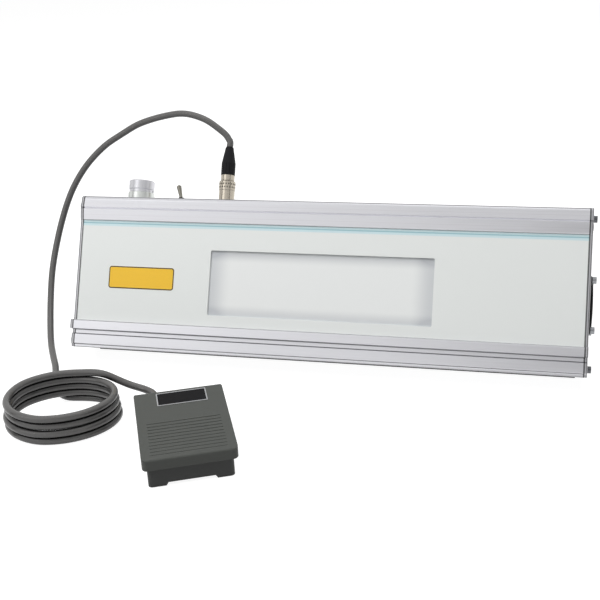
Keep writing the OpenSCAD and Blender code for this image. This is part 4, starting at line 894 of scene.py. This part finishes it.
@dataclass
class Lead:
    """The grey lead: an arch from the plug, piled loops on the ground, a tail to the pedal.

    The route's points are those of the solids, in millimetres. The sheath is drawn fuller by
    the snug length, so that piled turns touch to the eye. The way's points stand a spacing
    apart, and each is eased over reach points either side, by a bell curve of width ease.

    The coil's ellipse has a centre, two half axes and a turn, and it begins at the angle
    start; both angles are in degrees. Its lowest loop clears the ground by low. Loops lie out
    and in by turns, half a step either way, and draw in by taper for each millimetre of
    height. Each goes up by rise within the share climb of a loop, phase before it is whole.
    """

    diameter: float = 7.0
    snug: float = 0.2
    sides: int = 28
    fine: int = 8
    spacing: float = 1.6
    reach: int = 6
    ease: float = 2.5
    loops: int = 4
    rings: int = 72
    centre: tuple = (-228.8, -176.7)
    half_axes: tuple = (54.6, 43.6)
    turn: float = 24.0
    start: float = 72.0
    step: float = 1.4
    rise: float = 7.5
    low: float = 0.3
    phase: float = 0.33
    climb: float = 0.3
    taper: float = 0.11
    arch: tuple = (
        (-123, 82.5, 230.5), (-130.5, 84, 236), (-145.5, 87, 245.5), (-162.5, 89.5, 251),
        (-177.5, 91, 252.5), (-194.5, 92, 250), (-213.5, 92, 245.5), (-232.5, 91, 239),
        (-251.5, 88, 228.5), (-270.5, 84, 217), (-288.5, 77, 200.5), (-301.5, 70, 183.5),
        (-311.5, 61, 164), (-319, 49, 139.5), (-324, 33, 110), (-324.5, 15, 83.5),
        (-319, -8, 58), (-310, -33, 37.5), (-300, -55, 26), (-289, -74, 20), (-278.5, -91, 16),
        (-272, -105, 12), (-266.5, -117, 8), (-260, -125.5, 5.2), (-252, -130.8, 4.1))
    tail: tuple = (
        (-206, -132, 33.6), (-197.5, -130.5, 30.5), (-188, -128.5, 25), (-176, -127, 19.5),
        (-163.5, -127, 16.5), (-151, -132.5, 15.6), (-143.5, -142.5, 15.1))
    boot_tip: tuple = (-118.0, 36.0, 231.6)
    gland: tuple = (-21.0, 127.0, 15.0)
    same: float = 1e-6

    def coil(self) -> np.ndarray:
        """Loops on an ellipse, each a layer above the last; they climb at the left side and
        draw in a little towards the top.

        Returns:
            An n by 3 array of points along the middle, in millimetres.
        """
        turns = np.linspace(0, self.loops, self.loops * self.rings + 1)
        angle = np.radians(self.start) - 2 * np.pi * turns
        late = turns + self.phase
        climbs = np.clip((late[:, None] - np.arange(1, self.loops + 1)) / self.climb + 0.5, 0, 1)
        z = self.rise * climbs.sum(1)
        spread = self.step * (np.abs(late % 2 - 1) - 0.5) - self.taper * z
        x = (self.half_axes[0] + spread) * np.cos(angle)
        y = (self.half_axes[1] + spread) * np.sin(angle)
        c, s = math.cos(math.radians(self.turn)), math.sin(math.radians(self.turn))
        return np.column_stack([self.centre[0] + x * c - y * s, self.centre[1] + x * s + y * c,
                                self.diameter / 2 + self.low + z])

    def through(self, points: np.ndarray) -> np.ndarray:
        """Catmull-Rom curve through points, with a fixed number of parts between each two.

        Args:
            points: An n by 3 array.

        Returns:
            The curve's points, the given ones among them.
        """
        p = np.vstack([points[:1], points, points[-1:]])
        t = (np.arange(self.fine) / self.fine)[None, :, None]
        a, b, c, d = (p[i:len(p) - 3 + i][:, None] for i in range(4))
        curve = (2 * b + (c - a) * t + (2 * a - 5 * b + 4 * c - d) * t ** 2
                 + (3 * b - a - 3 * c + d) * t ** 3) / 2
        return np.vstack([curve.reshape(-1, 3), points[-1:]])

    def joined(self) -> np.ndarray:
        """Joins arch, coil and tail, each leaving the last and entering its end straight.

        Returns:
            An n by 3 array of points in millimetres, none of them twice.
        """
        coil = self.coil()
        flat = np.array([1.0, 1.0, 0.0])
        ahead, away = unit((coil[1] - coil[0]) * flat), unit((coil[-1] - coil[-2]) * flat)
        up = case_matrix() @ np.array([0, 0, 1.0])
        tip = case_to_row(np.array([self.boot_tip]) * MM)[0] / MM
        gland = pedal_to_row(np.array([self.gland]) * MM)[0] / MM
        rear = np.array([-math.sin(PEDAL_YAW), math.cos(PEDAL_YAW), 0.0])
        d = self.diameter
        first = self.through(np.array([
            tip, tip + d * up, *self.arch, coil[0] - 2 * d * ahead, coil[0] - d * ahead]))
        last = self.through(np.array([
            coil[-1] + d * away, coil[-1] + 2 * d * away, *self.tail, gland + d * rear,
            gland]))
        way = np.vstack([first, coil, last])
        return way[np.r_[True, np.linalg.norm(np.diff(way, axis=0), axis=1) > self.same]]

    def route(self) -> np.ndarray:
        """Spaces the joined way's points evenly and eases it by a bell-shaped mean.

        Returns:
            An n by 3 array of points along the middle, in metres.
        """
        way = self.joined()
        run = run_along(way)
        even = np.linspace(0, run[-1], int(run[-1] / self.spacing))
        way = np.column_stack([np.interp(even, run, way[:, k]) for k in range(3)])
        kernel = np.exp(-0.5 * (np.arange(-self.reach, self.reach + 1) / self.ease) ** 2)
        kernel /= kernel.sum()
        eased = np.column_stack([np.convolve(way[:, k], kernel, "valid") for k in range(3)])
        way[self.reach:-self.reach] = eased
        return way * MM

    def build(self) -> None:
        """Makes the tube and states its facts."""
        way = self.route()
        verts, faces = sweep(way, (self.diameter / 2 + self.snug) * MM, self.sides)
        tube = make_piece("pedal_lead", verts, faces, SHEATH, "case", smooth=True)
        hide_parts("cord_arch", "cord_coil", "cord_tail")


@dataclass
class ReturnSpring:
    """The coil spring under the tread, which shortens as the tread is pressed.

    Its helix is that of the solid, in millimetres in the pedal's frame, from low to high. The
    wire is given by its radius. pressed, the share of the height that a full press leaves, is
    not used.
    """

    spot: tuple = (0.0, 24.0)
    radius: float = 5.6
    wire: float = 0.8
    sides: int = 10
    turns: int = 5
    rings: int = 24
    low: float = 7.1
    high: float = 28.08
    pressed: float = 0.82

    def build(self) -> None:
        """Makes the wire on the case's body in place of the solid spring."""
        t = np.linspace(0, 1, self.turns * self.rings + 1)
        angle = 2 * np.pi * self.turns * t
        helix = np.column_stack([
            self.spot[0] + self.radius * np.cos(angle),
            self.spot[1] + self.radius * np.sin(angle),
            self.low + (self.high - self.low) * t])
        verts, faces = sweep(pedal_to_row(helix * MM), self.wire * MM, self.sides)
        wire = make_piece("tread_spring", verts, faces, ZINC, "case", smooth=True)
        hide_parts("return_spring")
        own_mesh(wire)


@dataclass
class BlankPlates:
    """Two plates with nothing on them: an amber one on the panel, a black one on the tread.

    Each is a rounded sheet with a border strip round it. Lengths are in millimetres. An
    outline is a width, a height and a corner radius, a spot the plate's middle, and a layer
    its underside and top above the surface. The tread's slope starts at tread_front and
    rises tread_rise over tread_run.
    """

    corner_steps: int = 8
    amber_spot: tuple = (-198.1, 78.8)
    amber: tuple = (75.5, 24.4, 3.0)
    amber_layer: tuple = (0.02, 0.12)
    keyline_out: tuple = (75.3, 24.2, 2.9)
    keyline_in: tuple = (73.1, 22.0, 1.9)
    keyline_layer: tuple = (0.1, 0.16)
    black_spot: tuple = (2.3, 93.6)
    black: tuple = (47.6, 21.6, 0.6)
    black_layer: tuple = (0.02, 0.3)
    border_in: tuple = (45.4, 19.4, 0.4)
    border_layer: tuple = (0.28, 0.42)
    tread_front: float = 30.0
    tread_rise: float = 10.0
    tread_run: float = 109.0

    def outline(self, w: float, h: float, r: float) -> np.ndarray:
        """Rounded rectangle: four quarter circles joined, counter-clockwise.

        Args:
            w: Width.
            h: Height.
            r: Corner radius.

        Returns:
            An n by 2 array of points round the centre.
        """
        a = np.linspace(0, np.pi / 2, self.corner_steps)
        quarter = np.column_stack([np.cos(a), np.sin(a)]) * r
        corners = []
        for i, (sx, sy) in enumerate(((1, 1), (-1, 1), (-1, -1), (1, -1))):
            c, s = math.cos(i * math.pi / 2), math.sin(i * math.pi / 2)
            arc = quarter @ np.array([[c, s], [-s, c]])
            corners.append(arc + [sx * (w / 2 - r), sy * (h / 2 - r)])
        return np.vstack(corners)

    @staticmethod
    def sheet(line: np.ndarray, low: float, high: float) -> tuple[np.ndarray, list]:
        """A solid sheet over an outline, between two heights.

        Args:
            line: The outline, counter-clockwise.
            low: Height of the underside.
            high: Height of the top.

        Returns:
            Points and faces, with the outline in the first two axes.
        """
        n = len(line)
        verts = np.vstack([np.column_stack([line, np.full(n, z)]) for z in (low, high)])
        i = np.arange(n)
        j = (i + 1) % n
        walls = np.column_stack([i, j, j + n, i + n])
        return verts, [*walls, i[::-1], i + n]

    @staticmethod
    def border(outer: np.ndarray, inner: np.ndarray, low: float,
               high: float) -> tuple[np.ndarray, list]:
        """A solid strip between two outlines with the same number of points.

        Args:
            outer: The outer outline, counter-clockwise.
            inner: The inner outline.
            low: Height of the underside.
            high: Height of the top.

        Returns:
            Points and faces.
        """
        n = len(outer)
        loops = [(outer, low), (outer, high), (inner, high), (inner, low)]
        verts = np.vstack([np.column_stack([line, np.full(n, z)]) for line, z in loops])
        i = np.arange(n)
        j = (i + 1) % n
        faces = []
        for k in range(4):
            m = (k + 1) % 4
            faces += list(np.column_stack([i + k * n, j + k * n, j + m * n, i + m * n]))
        return verts, faces

    def on_panel(self, points: np.ndarray) -> np.ndarray:
        """Stands a plate on the panel: its width along the case, its height up the face.

        Args:
            points: An n by 3 array round the plate's middle.

        Returns:
            The points in the row's frame, in metres.
        """
        x, z = self.amber_spot
        rows = np.column_stack([points[:, 0] + x, -points[:, 2], points[:, 1] + z])
        return case_to_row(rows * MM)

    def on_tread(self, points: np.ndarray) -> np.ndarray:
        """Lays a plate on the tread, turned up by the angle of its slope.

        Args:
            points: An n by 3 array round the plate's middle.

        Returns:
            The points in the row's frame, in metres.
        """
        x, mid = self.black_spot
        slope = math.atan2(self.tread_rise, self.tread_run)
        y = mid + points[:, 1] * math.cos(slope) - points[:, 2] * math.sin(slope)
        z = (self.tread_front + self.tread_rise * mid / self.tread_run
             + points[:, 1] * math.sin(slope) + points[:, 2] * math.cos(slope))
        return pedal_to_row(np.column_stack([points[:, 0] + x, y, z]) * MM)

    def build(self) -> None:
        """Makes the amber plate with its keyline, and the black plate with its border."""
        amber = self.sheet(self.outline(*self.amber), *self.amber_layer)
        keyline = self.border(self.outline(*self.keyline_out), self.outline(*self.keyline_in),
                              *self.keyline_layer)
        black = self.sheet(self.outline(*self.black), *self.black_layer)
        border = self.border(self.outline(*self.black), self.outline(*self.border_in),
                             *self.border_layer)
        for name, (verts, faces), finish in (("amber_plate", amber, AMBER),
                                             ("amber_plate_keyline", keyline, INK)):
            make_piece(name, self.on_panel(verts), faces, finish, "case")
        for name, (verts, faces), finish in (("tread_plate", black, PLATE_BLACK),
                                             ("tread_plate_border", border, PLATE_EDGE)):
            make_piece(name, self.on_tread(verts), faces, finish, "tread")


def main() -> None:
    """Builds the studio, the lead, the spring and the plates, and dresses the solids."""
    logging.basicConfig(level=logging.INFO, format="%(message)s")
    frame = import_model()
    Studio().build()
    Lead().build()
    ReturnSpring().build()
    BlankPlates().build()
    for unit_of_solids in SUB_ASSEMBLIES:
        unit_of_solids.dress(frame["nodes"])


if __name__ == "__main__":
    main()
